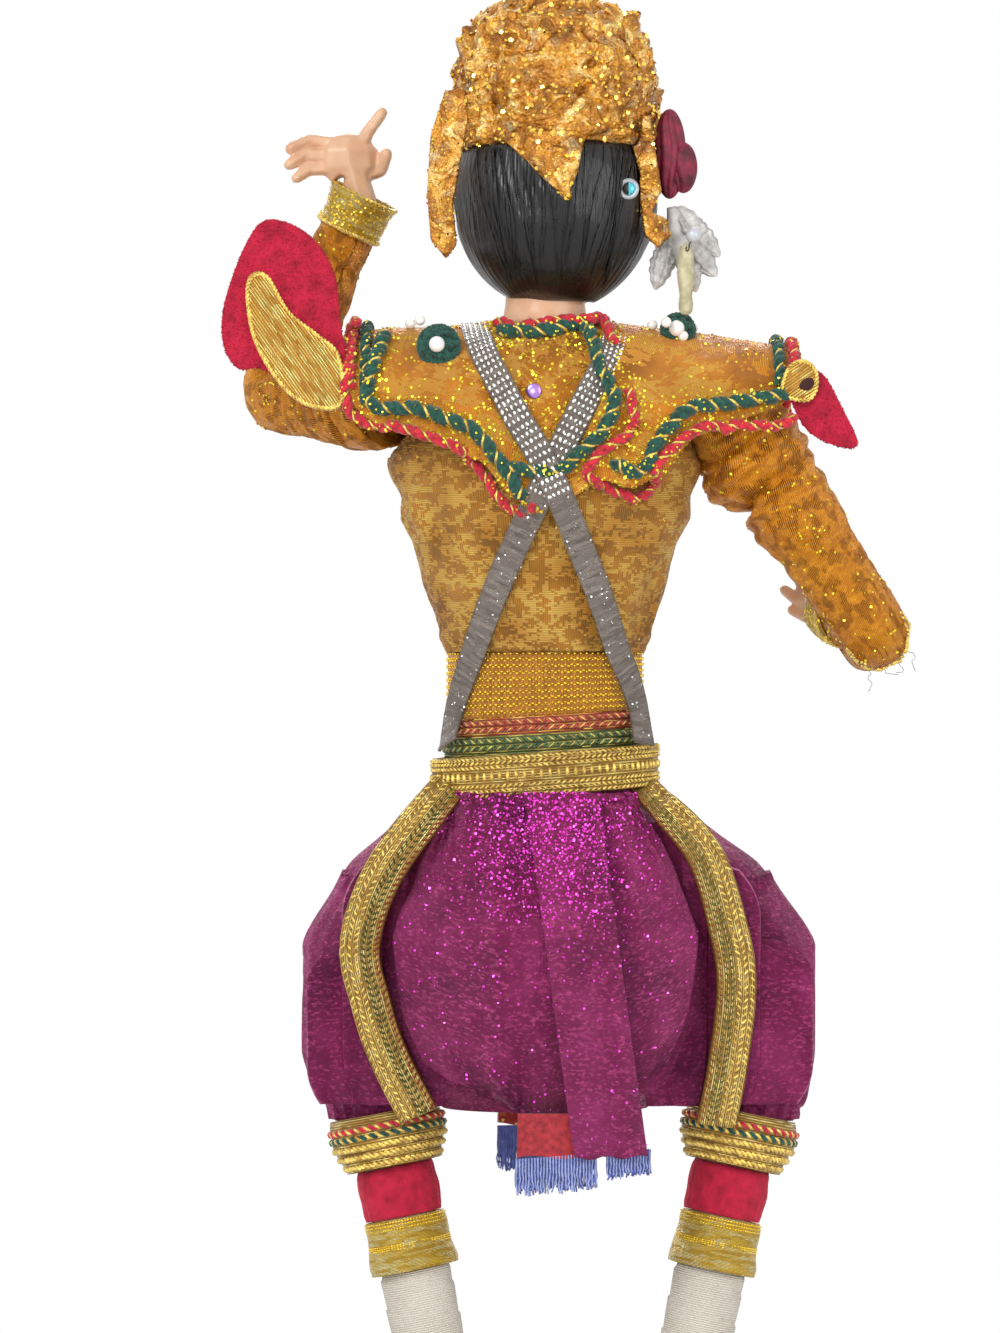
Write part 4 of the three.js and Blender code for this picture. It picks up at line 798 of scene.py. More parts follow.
def stitch_recipe():
    """A stitch, bead or rib on every cell of a laid-out band."""
    r = Recipe("laid_stitches", stitch="", size=(1.0, 1.0, 1.0), jitter=0.0, seed=0)
    cells = r.node("GeometryNodeMeshToPoints", {0: r.start["Geometry"]}, mode="FACES").outputs[0]
    axes = {"Primary Axis": r.layer("out", "FLOAT_VECTOR"),
            "Secondary Axis": r.layer("along", "FLOAT_VECTOR")}
    turn = r.node("FunctionNodeAxesToRotation", axes, primary_axis="Z", secondary_axis="X").outputs[0]
    stitch = r.node("GeometryNodeObjectInfo", {0: r.start["stitch"]}).outputs["Geometry"]
    less = r.maths("SUBTRACT", 1.0, r.start["jitter"])
    size = r.vectors("SCALE", r.start["size"], scale=r.chance(less, 1.0, r.start["seed"]))
    laid = r.node("GeometryNodeInstanceOnPoints", {"Points": cells, "Instance": stitch, "Rotation": turn,
                                                   "Scale": size})
    return r.close(laid.outputs[0])


def glitter_recipe():
    """Foil flakes strewn over a surface, thickest where its glitter weight is high."""
    r = Recipe("strewn_glitter", density=1.0, radius=0.001, tilt=0.5, seed=0)
    density = r.maths("MULTIPLY", r.layer("glitter", "FLOAT"), r.start["density"])
    strewn = r.node("GeometryNodeDistributePointsOnFaces",
                    {0: r.start["Geometry"], "Density": density, "Seed": r.start["seed"]})
    flake = r.node("GeometryNodeMeshCircle", {"Vertices": 5, "Radius": r.start["radius"]}, fill_type="NGON")
    low = r.maths("MULTIPLY", r.start["tilt"], -1.0)
    lean = r.node("ShaderNodeCombineXYZ", {0: r.chance(low, r.start["tilt"], r.start["seed"]),
                                           1: r.chance(low, r.start["tilt"], 7)}).outputs[0]
    lean = r.node("FunctionNodeEulerToRotation", {0: lean}).outputs[0]
    turn = r.node("FunctionNodeRotateRotation", {0: strewn.outputs["Rotation"], 1: lean},
                  rotation_space="LOCAL").outputs[0]
    laid = r.node("GeometryNodeInstanceOnPoints", {"Points": strewn.outputs[0], "Instance": flake.outputs[0],
                                                   "Rotation": turn, "Scale": r.chance(0.55, 1.3, 3)})
    lifted = r.node("GeometryNodeTranslateInstances", {0: laid.outputs[0], "Translation": (0, 0, 0.00012)})
    return r.close(lifted.outputs[0])


def thread_recipe():
    """Loose threads that hang from a hem, each with its own length and sway."""
    r = Recipe("hanging_threads", spacing=1.0, drop=(0.0, 0.0, -1.0), radius=0.001, sway=0.0, seed=0)
    hem = r.node("GeometryNodeMeshToCurve", {0: r.start["Geometry"]}).outputs[0]
    roots = r.node("GeometryNodeCurveToPoints", {"Curve": hem, "Length": r.start["spacing"]}, mode="LENGTH")
    line = r.node("GeometryNodeCurvePrimitiveLine", {"Start": (0, 0, 0), "End": r.start["drop"]}).outputs[0]
    line = r.node("GeometryNodeResampleCurve", {"Curve": line, "Count": 7}, mode="COUNT").outputs[0]
    laid = r.node("GeometryNodeInstanceOnPoints", {"Points": roots.outputs[0], "Instance": line,
                                                   "Scale": r.chance(0.8, 1.0, r.start["seed"])})
    real = r.node("GeometryNodeRealizeInstances", {"Geometry": laid.outputs[0]}).outputs[0]
    share = r.node("GeometryNodeSplineParameter").outputs["Factor"]
    place = r.node("GeometryNodeInputPosition").outputs[0]
    stir = r.node("ShaderNodeTexNoise", {"Vector": place, "Scale": 900.0, "Detail": 1.0}).outputs["Color"]
    stir = r.vectors("SUBTRACT", stir, (0.5, 0.5, 0.5))
    amount = r.maths("MULTIPLY", r.maths("MULTIPLY", share, share), r.start["sway"])
    moved = r.node("GeometryNodeSetPosition",
                   {"Geometry": real, "Offset": r.vectors("SCALE", stir, scale=amount)})
    return r.close(r.tube(moved.outputs[0], 4))


STRAND, STITCH, GLITTER, THREADS = strand_recipe(), stitch_recipe(), glitter_recipe(), thread_recipe()


def line_of(points, closed=False):
    """A bare line for a recipe to follow."""
    count = len(points)
    edges = [(i, (i + 1) % count) for i in range(count if closed else count - 1)]
    return link(bpy.data.objects.new("line", bare_mesh("line", points * MM, edges=edges)))


GOLD_PLIES = [(GOLD_YARN, 1), (GOLD_YARN, 0.9)]


def edge_plies(yarn):
    """Two plies of yarn and a thin one of gold, as in the cords on the cape."""
    return [(yarn, 1.0), (yarn, 0.95), (GOLD_YARN, 0.36)]


def twisted(name, points, plies, radius, pitch, closed=False):
    """A cord of several plies: pairs of a finish and a share of the radius."""
    made = []
    for i, (finish, share) in enumerate(plies):
        made.append(STRAND.make(
            f"{name}_{i}", line_of(points, closed), finish, radius=radius * share * 0.56 * MM,
            offset=radius * 0.5 * MM, pitch=pitch * MM, phase=i * TURN / len(plies), step=0.35 * MM))
    return joined(name, made)


def bead(name, across, down):
    """A small round blank for a recipe to repeat, kept out of the render."""
    obj = ball(name, np.zeros(3), np.ones(3), None, across, down)
    obj.hide_render = True
    return obj


def stitched(name, points, finish, stitch, size, jitter, lean=0.0, closed=False, seed=1):
    """Stitches on every cell of a grid; lean turns them in the band, in degrees, by turns if a pair."""
    rows, columns = points.shape[:2]
    faces = quads(rows, columns, 0, closed)
    obj = shaped("cells", points.reshape(-1, 3), faces, recalc=False)
    out = facing(points, closed)
    side = unit(np.roll(points, -1, 1) - points if closed else np.gradient(points, axis=1))
    cells_along, cells_out = [], []
    last = columns if closed else columns - 1
    leans = lean if isinstance(lean, tuple) else (lean,)
    for j in range(rows - 1):
        angle = math.radians(leans[j % len(leans)])
        for i in range(last):
            normal = out[j, i]
            across = np.cross(normal, side[j, i])
            cells_along.append(side[j, i] * math.cos(angle) + across * math.sin(angle))
            cells_out.append(normal)
    for key, values in (("along", cells_along), ("out", cells_out)):
        attribute = obj.data.attributes.new(key, "FLOAT_VECTOR", "FACE")
        attribute.data.foreach_set("vector", np.asarray(values, np.float32).ravel())
    return STITCH.make(name, obj, finish, stitch=stitch, size=size, jitter=jitter, seed=seed)


def strew(name, pieces, finish, per_mm2, radius, tilt=0.6, weight=None, seed=1):
    """Glitter flakes over copies of finished pieces; weight(points) says how thick it lies."""
    made = []
    for i, piece in enumerate(pieces):
        source = link(bpy.data.objects.new("ground", piece.data.copy()))
        points = np.array([v.co for v in source.data.vertices]) / MM
        values = np.ones(len(points)) if weight is None else np.clip(weight(points), 0, 1)
        attribute = source.data.attributes.new("glitter", "FLOAT", "POINT")
        attribute.data.foreach_set("value", values.astype(np.float32))
        made.append(GLITTER.make(f"{name}_{i}", source, finish, density=per_mm2 / MM ** 2,
                                 radius=radius * MM, tilt=tilt, seed=seed + i))
    return joined(name, made)


# Cloth is simulated this much larger than life, in metres for each millimetre
BOLT_SCALE = 0.02


def crumpled(points, spare, core, cap, closed=True, pressure=0.0, frames=18):
    """Cloth with spare length, held at its ends, that buckles over the stuffing inside it."""
    rows, columns = points.shape[:2]
    faces = quads(rows, columns, 0, closed)
    centre = points.mean(axis=(0, 1))
    local = (points - centre) * BOLT_SCALE
    obj = link(bpy.data.objects.new("bolt", bare_mesh("bolt", local, faces)))
    group = obj.vertex_groups.new(name="held")
    for start in (0, (rows - 1) * columns):
        group.add(list(range(start, start + columns)), 1.0, "REPLACE")
    middle = local.mean(axis=1, keepdims=True)
    inner = middle + (local - middle) * core if closed else local - facing(local) * (1 - core)
    stuffing = link(bpy.data.objects.new("filling", bare_mesh("filling", inner, faces)))
    stuffing.modifiers.new("collision", "COLLISION")
    stuffing.collision.thickness_outer = 0.004
    modifier = obj.modifiers.new("cloth", "CLOTH")
    settings = modifier.settings
    settings.quality, settings.mass = 5, 0.2
    settings.tension_stiffness = settings.compression_stiffness = 12
    settings.shear_stiffness, settings.bending_stiffness = 6, 0.15
    settings.shrink_min = -spare
    settings.vertex_group_mass = "held"
    settings.effector_weights.gravity = 0
    settings.use_pressure = pressure > 0
    settings.uniform_pressure_force = pressure
    modifier.collision_settings.distance_min = 0.003
    modifier.point_cache.frame_start, modifier.point_cache.frame_end = 1, frames
    for number in range(1, frames + 1):
        bpy.context.scene.frame_set(number)
    shape = obj.evaluated_get(bpy.context.evaluated_depsgraph_get())
    result = np.array([v.co for v in shape.data.vertices]).reshape(rows, columns, 3) / BOLT_SCALE + centre
    bpy.data.objects.remove(obj)
    bpy.data.objects.remove(stuffing)
    bpy.context.scene.frame_set(1)
    move = result - points
    size = np.linalg.norm(move, axis=2, keepdims=True)
    return points + move * np.minimum(1, cap / np.maximum(size, 1e-6))


RIB = bead("rib_blank", 6, 5)
PEA = bead("pea_blank", 8, 6)

# ---- stand, feet and legs
stand = lathe("turned_stand", np.zeros(3), [
    (0.2, 0), (46.6, 0), (47.3, 0.5), (47.5, 1.4), (47.4, 2.6), (46.9, 3.6), (46.1, 4.6), (44.6, 5.1),
    (43.9, 5.6), (43.2, 6.6), (42.9, 7.6), (43.0, 8.8), (43.4, 9.8), (43.4, 10.6), (42.9, 11.8),
    (42.3, 12.8), (41.4, 13.5), (40.2, 13.9), (38.0, 14.0), (20.0, 14.0), (2.0, 14.0)], WOOD, 128)
fit(stand, "figure", "stand_wood", "stand")


def ring_band(name, side, start, height, low, high, crown, finish, folds=0.0, thickness=0.5, seed=0,
              flare=0.0):
    """A band wound round the shin, with the small folds that it is pulled in by."""
    ankle, knee = LEGS[side]

    def shape(angle, place):
        share = (place - start) / height
        pucker = folds * np.sin(23 * angle + seed) * (1 - 0.5 * share)
        return 1 + pucker + 0.012 * np.sin(3 * angle + 9 * share + seed) + flare * (1 - share) ** 3
    profile = [(start, low), (start + 0.12 * height, low + 0.2), (start + 0.55 * height, high + crown),
               (start + 0.9 * height, high + 0.1), (start + height, high - 0.2)]
    rings = round_limb(ankle, knee, profile, 96, 18, shape)
    return cloth(name, rings, thickness, finish, closed=True)


def ring_at(limb, place, radius, sides):
    """One ring round a limb, at a place along it."""
    return round_limb(*limb, [(place, radius), (place + 0.01, radius)], sides, 2)[0]


# Cords round a trouser cuff: place on it, radius, yarn; and the edges of an anklet: low, high, radius
CUFF_CORDS = ((0.8, 8.2, GOLD_YARN), (2.4, 8.9, GOLD_YARN), (4.0, 9.5, GOLD_YARN), (5.6, 9.7, GREEN_YARN),
              (7.0, 9.7, RED_YARN))
ANKLET_EDGES = ((0.2, 1.6, 7.25), (7.2, 8.9, 7.0), (3.9, 4.9, 7.05))


def dress_leg(side):
    """Wound shin, anklet, velvet band, cuff with its cords, and foot."""
    ankle, knee = LEGS[side]
    length = np.linalg.norm(knee - ankle)
    cuff = length - 7.5
    band = cuff - 8.7
    anklet = band - 9.3

    def wrap(angle, place):
        turn = (place / 5.2 + angle / TURN) % 1.0
        return 1 + 0.045 * turn - 0.02 * np.exp(-(turn / 0.08) ** 2)
    profile = [(0.2, 3.2), (0.9, 4.3), (3.0, 4.6), (0.12 * length, 4.7), (0.4 * length, 5.75),
               (0.6 * length, 5.95), (anklet - 0.5, 5.9), (anklet + 0.5, 5.0), (length - 0.4, 5.0)]
    shin = skin(f"wound_shin_{side}", round_limb(ankle, knee, profile, 72, 190, wrap), COTTON)
    fit(shin, "figure", "leg_wrap", f"shin_{side}")

    parts = [ring_band(f"anklet_ribbon_{side}", side, anklet, 9.0, 7.0, 6.7, 0.1, FOIL_CLOTH, 0.008, 0.4, 1,
                       0.04)]
    for i, (low, high, radius) in enumerate(ANKLET_EDGES):
        rings = np.stack([ring_at(LEGS[side], anklet + low + (high - low) * t, radius, 84)
                          for t in (0, 0.34, 0.67, 1)])
        parts.append(stitched(f"anklet_edge_{side}_{i}", rings, RIBBON_FOIL, RIB, (0.3, 0.17, 0.14),
                              0.4, (8, -8), True, i))
    fit(joined(f"gold_anklet_{side}", parts), "figure", "gold_cloth", f"anklet_{side}")
    red = ring_band(f"velvet_band_{side}", side, band, 8.4, 6.1, 6.2, 0.3, VELVET, 0.012, 0.8, 4)
    fit(red, "figure", "red_velvet", f"leg_band_{side}")

    trims = [ring_band(f"cuff_roll_{side}", side, cuff, 9.0, 7.8, 9.0, 0.4, GIMP, 0.006, 0.9, 2)]
    for rise, radius, finish in CUFF_CORDS:
        place = cuff + rise
        ring = finer(ring_at(LEGS[side], place, radius, 96)[::6], 0.5, True)
        plies = [(finish, 1.0), (GOLD_YARN, 0.8)]
        trims.append(twisted(f"cuff_cord_{side}_{place:.0f}", ring, plies, 0.62, 1.9, True))
    fit(joined(f"gimp_cuff_{side}", trims), "figure", "gold_braid", f"trouser_cuff_{side}")

    foot = softened(f"foot_form_{side}", f"foot_{side}", FLESH, 0.35, 8)
    fit(foot, "figure", "flesh", f"foot_{side}")


for side in ("left", "right"):
    dress_leg(side)
for node in ("leg_peg_left", "leg_peg_right", "spine_rod"):
    frame["nodes"][node].data.materials.clear()
    frame["nodes"][node].data.materials.append(STEEL.material)

# ---- hips: seat, cloth, trousers and pleats
# The seat inside the cloth: height, half width, half depth
SEAT = [
    (KNEE_Z + 3, 17.67, 11.4), (KNEE_Z + 8, 23.94, 15.2), (KNEE_Z + 20, 28.5, 18.62),
    (KNEE_Z + 32, 28.5, 19.0), (KNEE_Z + 44, 24.51, 17.48), (BELT_Z, 17.8, 13.4), (BELT_Z + 7.4, 16.8, 12.6)]


def on_seat(x, z, off):
    """How far back the seat stands at x and z, with cloth that stands off by off."""
    half_width = flow(SEAT, z, 1) + off
    half_depth = flow(SEAT, z, 2) + off
    return half_depth * np.sqrt(np.maximum(0.02, 1 - (x / half_width) ** 2))


def seat_rings(off=0.0, rows=70, sides=140):
    u, v = rings_of(sides, rows)
    z = KNEE_Z + 3 + v * (BELT_Z + 5 - KNEE_Z)
    front = np.clip(-np.sin(u), 0, 1)
    pleat = off + 0.5 * front * np.sin(26 * u) * np.sin(np.pi * np.clip(v * 1.2, 0, 1))
    x = (flow(SEAT, z, 1) + pleat) * np.cos(u)
    return np.stack([x, (flow(SEAT, z, 2) + pleat) * np.sin(u), z], -1)


seat = skin("seat_cloth", seat_rings(-0.2), PURPLE)
fit(seat, "figure", "purple_lame", "seat_core")

# How far round the seat the hip cloth reaches, by height
HIP_EDGE = [(KNEE_Z + 3, 0.55), (KNEE_Z + 12, 0.74), (KNEE_Z + 32, 0.83), (BELT_Z - 1, 0.8)]


def hip_place(u, v):
    """The hip cloth over the back of the seat: its hem (v 0) rises to the sides, its top is gathered."""
    across = 1 - 2 * u
    z = (KNEE_Z + 1.5 + 9 * across ** 2) * (1 - v) + (BELT_Z + 0.4) * v
    x = across * flow(HIP_EDGE, z) * (flow(SEAT, z, 1) + 1.5)
    fold = 0.7 * (1 - v) * np.cos(9 * across * np.pi * 0.5) * (1 - across ** 4)
    gather = 0.35 * np.sin(46 * across + 5 * np.sin(5 * across)) * v ** 3
    hang = 0.5 * np.sin(19 * across + 2.1 * np.sin(4 * v)) * np.sin(np.pi * np.clip(1.3 * (1 - v), 0, 1))
    y = on_seat(x, z, 1.7 + fold + gather + hang * (1 - across ** 6))
    return x, y, z


hip_points = crumpled(grid(hip_place, 150, 90), 0.05, 0.985, 0.7, closed=False, frames=14)
hip = cloth("hip_cloth_back", hip_points, 0.7, PURPLE)
fit(hip, "figure", "purple_lame", "hip_cloth")

# Trouser legs: height, x of the middle, half width
TROUSERS = {
    "left": [(KNEE_Z + 1.5, 28, 9), (KNEE_Z + 12, 29.2, 11), (KNEE_Z + 30, 28.6, 11.6),
             (KNEE_Z + 42, 23, 11), (KNEE_Z + 52, 14, 9.5)],
    "right": [(KNEE_Z + 1.5, -34.6, 9), (KNEE_Z + 12, -33.8, 11.2), (KNEE_Z + 30, -33, 12.3),
              (KNEE_Z + 42, -26, 12), (KNEE_Z + 52, -15, 10)],
}


def trouser_rings(side, rows=64, sides=110):
    """A baggy leg in level rings, drawn in with pleats over the cuff."""
    u, v = rings_of(sides, rows)
    table = TROUSERS[side]
    z = table[0][0] - 1.2 + v * (table[-1][0] - table[0][0] + 1.2)
    low = np.exp(-v / 0.09)
    fold = 1 + 0.03 * np.cos(6 * u) + 0.035 * np.sin(17 * u + 3 * v) * (1 - v) + 0.03 * low * np.sin(31 * u)
    fold -= 0.08 * low
    x = flow(table, z, 1) + flow(table, z, 2) * np.cos(u) * fold
    return np.stack([x, -6.4 + 9.0 * np.sin(u) * fold, z], -1)


for side in ("left", "right"):
    rings = crumpled(trouser_rings(side), 0.1, 0.93, 0.9, pressure=1.0)
    leg = skin(f"trouser_cloth_{side}", rings, PURPLE)
    fit(leg, "figure", "purple_lame", f"trouser_leg_{side}")

# Steps of the side pleats: inner x, outer x, height of the top over the knee
PLEATS = {
    "left": ((17, 27.6, 52), (21, 34.2, 45.8), (26, 40.2, 31.2)),
    "right": ((-17, -27.2, 52), (-22, -36.2, 45.2), (-28, -45.2, 32.8)),
}


def pleat_points(inner, outer, top, depth, seed):
    """One folded step of the hip cloth that stands out at the side."""
    def place(u, v):
        z = KNEE_Z + 3.8 + v * (top - 4.2)
        edge = outer - (outer - inner) * (0.25 * np.clip((v - 0.8) / 0.2, 0, 1) ** 2
                                          + 0.16 * np.clip((0.25 - v) / 0.25, 0, 1) ** 2)
        x = inner + (edge - inner) * u
        y = depth + 0.5 * np.sin(11 * u + 1.8 * v + seed) * (0.3 + 0.7 * u) - 0.4 * np.sin(5 * v + seed) * u
        return x, y, z - 1.4 * u ** 2 * v
    return grid(place, 44, 60)


for side in ("left", "right"):
    folds = [cloth(f"pleat_{side}_{i}", pleat_points(*step, 7.1 - 1.5 * i, i), 0.95, PURPLE)
             for i, step in enumerate(PLEATS[side])]
    stack = fit(joined(f"pleat_stack_{side}", folds), "figure", "purple_lame", f"side_pleats_{side}")

# Edge strips: x and height over the knee, from the belt down, and how far back they lie by their share
STRIPS = {
    "left": [(14.5, 59), (18.5, 55), (27.2, 43.2), (31.1, 31.3), (29.2, 21.1), (26.4, 12.6), (21.3, 2.4)],
    "right": [(-15.6, 58.4), (-18.8, 55.2), (-26.4, 46.6), (-30.4, 34.7), (-32, 24.5), (-30.6, 11),
              (-28.6, 0.6)],
}
STRIP_BACK = {
    "left": [(0, 5.6), (0.05, 8.6), (0.11, 12.4), (0.17, 13.8), (0.25, 13.4), (0.5, 11.6), (1, 9.6)],
    "right": [(0, 5.4), (0.05, 8.4), (0.11, 12.0), (0.17, 13.0), (0.25, 12.2), (0.5, 10.2), (1, 8.6)],
}


# Braids on the edge strips: from and to across the strip, rows of stitches, finish, lean of the stitches
STRIP_BRAIDS = ((0.1, 4.2, 3, GOLD_YARN, (48, -48)), (-2.6, 0.0, 2, GREEN_GOLD, (50, -50)),
                (-4.1, -2.7, 1, RED_GOLD, 50))


def strip_grid(side, low, high, cells, lift=0.0):
    """Part of the edge strip, from its inner edge (-4) to its outer one (4)."""
    out = 1 if side == "left" else -1
    path = finer([(x, 0, KNEE_Z + rise) for x, rise in STRIPS[side]], 0.55)
    t = np.linspace(0, 1, len(path))
    along = unit(np.gradient(path, axis=0))
    down = -along[:, 0] * np.sign(along[:, 2])
    across = np.stack([np.abs(along[:, 2]), np.zeros(len(path)), down], -1) * out
    rows = []
    for offset in np.linspace(low, high, cells + 1):
        narrow = 1 - (0.2 if side == "left" else 0.5) * np.exp(-t / 0.16)[:, None]
        row = path + across * narrow * offset * math.cos(0.6)
        row[:, 1] = flow(STRIP_BACK[side], t) - offset * math.sin(0.6) + lift
        rows.append(row)
    return np.array(rows)


for side in ("left", "right"):
    parts = [cloth(f"strip_ground_{side}", strip_grid(side, -4, 4, 16), 0.8, GIMP)]
    for low, high, cells, finish, lean in STRIP_BRAIDS:
        braid = strip_grid(side, low, high, cells, 0.45)[:, ::2]
        parts.append(stitched(f"strip_{side}_{cells}", braid, finish, RIB, (0.85, 0.27, 0.34), 0.3, lean))
    fit(joined(f"braid_strip_{side}", parts), "figure", "gold_braid", f"edge_strip_{side}")

FULLEST_Z = KNEE_Z + 22


def hung(top, bottom, low, high, off, front=1, across=60, along=80, folds=0.0, seed=0):
    """A strip that hangs down the seat; top and bottom give its left and right x."""
    def place(u, v):
        z = low + v * (high - low)
        left = bottom[0] + (top[0] - bottom[0]) * v
        right = bottom[1] + (top[1] - bottom[1]) * v
        x = left + (right - left) * u
        ripple = folds * np.sin(9 * u + seed + 1.5 * np.sin(3 * v)) * (1 - 0.6 * v)
        y = front * (on_seat(x, np.maximum(z, FULLEST_Z), off) + ripple)
        return x, y, z + 0.25 * np.sin(14 * u + seed) * (1 - v) ** 6
    return grid(place, across, along)


FLAP_LOW = KNEE_Z - 3.2
flap_points = hung((-8.5, 3.5), (-16.6, -4.6), FLAP_LOW, BELT_Z + 0.6, 4.7, folds=0.35)
flap = cloth("flap_cloth", flap_points, 0.7, PURPLE)


def below_belt(points):
    """Glitter lies thickest in a patch under the middle of the belt, a painted highlight where the light is
    brightest on the cloth.
    """
    patch = np.exp(-((points[:, 0] + 1) / 13) ** 2 - ((points[:, 2] - 155) / 12) ** 2)
    return (0.03 + patch) * (points[:, 1] > 0)


fit(strew("hip_glitter", [hip, flap], PINK_FLAKE, 4.4, 0.2, 0.8, below_belt, 21), "figure", "purple_lame")
fit(flap, "figure", "purple_lame", "rear_flap")
lining_points = hung((-15.6, 4.7), (-16, 4.9), FLAP_LOW, KNEE_Z + 4, 3.4, folds=0.2, seed=2)
lining = cloth("lining_cloth", lining_points, 0.6, LINING)
fit(lining, "figure", "red_cloth", "flap_lining")


# Layers of a fringe: thread, spacing, sway, how far it stands out
FRINGE_LAYERS = ((BLUE_THREAD, 0.26, 1.6, 0.2), (WHITE_THREAD, 0.5, 1.8, 0.45),
                 (BLUE_THREAD, 0.3, 2.0, -0.25))


def fringe(name, span, top, off, front, seed, length=8.0):
    """Threads in three layers under a stitched head, hung between two x along a sloping hem."""
    x = np.linspace(span[0], span[1], 40)
    y = front * on_seat(x, np.full(40, FULLEST_Z), off)
    hem = np.stack([x, y, np.linspace(top[0], top[1], 40)], -1)
    parts = []
    for i, (finish, spacing, sway, shift) in enumerate(FRINGE_LAYERS):
        line = line_of(hem + np.array([0.1 * i, front * shift, 0]))
        parts.append(THREADS.make(f"{name}_{i}", line, finish, spacing=spacing * MM,
                                  drop=(0, 0, -length * MM), radius=0.15 * MM, sway=sway * MM,
                                  seed=seed + i))
    head = np.stack([hem - UP * 0.9, hem + UP * 0.2])
    parts.append(stitched(f"{name}_head", head, BLUE_THREAD, RIB, (0.36, 0.3, 0.5), 0.2))
    return joined(name, parts)


long_run = fringe("fringe_long", (-8.2, 4.8), (FLAP_LOW + 0.8, FLAP_LOW - 0.3), 3.4, 1, 11, 6.2)
short_run = fringe("fringe_short", (-17.2, -10.2), (FLAP_LOW + 1.0, FLAP_LOW + 0.4), 3.4, 1, 12, 4.2)
fit(joined("blue_fringe_back", [long_run, short_run]), "figure", "blue_fringe", "rear_fringe")
panel_points = hung((-6, 6), (-8, 8), KNEE_Z - 2, BELT_Z + 0.4, 2.0, -1, folds=0.2)
panel = cloth("panel_cloth", panel_points, 1.1, PANEL)
fit(panel, "figure", "brocade", "front_panel")
front_run = fringe("blue_fringe_front", (-7.8, 7.8), (KNEE_Z - 2.3, KNEE_Z - 2.3), 2.0, -1, 23)
fit(front_run, "figure", "blue_fringe", "front_fringe")


def panel_edge(share):
    edge = hung((-6, 6), (-8, 8), KNEE_Z - 1.6, BELT_Z - 0.6, 2.9, -1, 31, 60)[:, int(share * 30)]
    return finer(edge[::6], 0.5)


edging = [twisted(f"panel_cord_{i}", panel_edge(share), [(GOLD_YARN, 1), (finish, 0.9)], 0.6, 2.0)
          for i, (share, finish) in enumerate(((0.05, GREEN_YARN), (0.95, GREEN_YARN), (0.2, RED_YARN),
                                               (0.8, RED_YARN)))]
fit(joined("panel_edging", edging), "figure", "gold_braid")


# ---- waist: belt, two braids and a ribbon, which lean a little down to the doll's left
LEAN, BELT_LEAN = 0.06, 0.07


def waist_ring(z, out, half, sides, lean, turn):
    u = (np.arange(sides) + turn) / sides * TURN
    x = (half[0] + out) * np.cos(u)
    return np.stack([x, (half[1] + out) * np.sin(u), z - lean * x], -1)


def waist_band(low, high, out, half, rows, sides=220, bulge=0.0, lean=(LEAN, LEAN), turn=0.0):
    levels = np.linspace(0, 1, rows)
    return np.stack([waist_ring(low + (high - low) * t, out + bulge * math.sin(math.pi * t), half, sides,
                                lean[0] + (lean[1] - lean[0]) * t, turn) for t in levels])


# Half width and half depth of what the belt and the braids go round
BELT_HALF, WAIST_HALF = (18.1, 13.9), (15.6, 11.9)
belt_base = waist_band(BELT_Z + 0.1, BELT_Z + 7.3, 0.65, BELT_HALF, 14, bulge=0.1, lean=(BELT_LEAN,) * 2)
belt_parts = [cloth("belt_ground", belt_base, 0.8, GIMP, True)]
# Rows of the belt: from, to, rings, stitches round it, size of a stitch, lean
for low, high, rows, sides, size, lean in (
        (0.2, 2.6, 4, 118, (0.66, 0.24, 0.3), (34, -34, 34)),
        (5.0, 7.2, 4, 118, (0.66, 0.24, 0.3), (-34, 34, -34)), (2.8, 4.9, 2, 84, (0.42, 0.95, 0.46), 0)):
    ring = waist_band(BELT_Z + low, BELT_Z + high, 1.15, BELT_HALF, rows, sides, 0.1, (BELT_LEAN,) * 2)
    belt_parts.append(stitched(f"belt_rows_{low}", ring, GOLD_YARN, RIB, size, 0.2, lean, True))
fit(joined("gimp_belt", belt_parts), "figure", "gold_braid", "belt")


def herringbone(name, low, finish, out, node, slot, accent):
    """A braid round the waist: a ground, slanting strokes of an accent and thin gold ones over them."""
    base = waist_band(low - 0.6, low + 2.8, out - 0.3, WAIST_HALF, 8)
    ground = cloth(name + "_ground", base, 1.0, finish, True)
    rows = waist_band(low + 0.15, low + 2.55, out + 0.32, WAIST_HALF, 3, 120)
    strokes = stitched(name + "_strokes", rows, accent, RIB, (0.85, 0.27, 0.26), 0.2, (38, -38), True)
    wide = waist_band(low + 0.1, low + 2.6, out + 0.42, WAIST_HALF, 3, 60)
    gold = stitched(name + "_glints", wide, GOLD_YARN, RIB, (0.85, 0.14, 0.24), 0.25, (38, -38), True)
    return fit(joined(name, [ground, strokes, gold]), "figure", slot, node)


herringbone("green_herringbone", GREEN_Z, GREEN_GOLD, 1.3, "green_braid", "green_braid",
            fibre("green_metal_thread", "273e26", "5d7d45", 0.45, 0.4))
herringbone("red_herringbone", RED_Z, RED_GOLD, 1.1, "red_braid", "red_braid",
            fibre("red_metal_thread", "81201e", "c74f40", 0.45, 0.35))
ribbon_base = waist_band(RIBBON_Z - 0.3, RIBBON_TOP_Z, 0.5, WAIST_HALF, 30, lean=(LEAN, 0))
ribbon_parts = [cloth("ribbon_ground", ribbon_base, 0.8, AMBER_LAME, True)]
for i in (0, 1):
    rows = waist_band(RIBBON_Z - 0.8 * i, RIBBON_TOP_Z + 0.6 - 0.8 * i, 1.06, WAIST_HALF, 11, 96,
                      lean=(LEAN, 0), turn=0.5 * i)
    ribbon_parts.append(stitched(f"ribbon_rows_{i}", rows, RIBBON_FOIL, RIB, (0.34, 0.22, 0.24), 0.4,
                                 (9, -6), True, seed=5 + i))
fit(joined("lame_ribbon", ribbon_parts), "figure", "gold_cloth", "waist_ribbon")


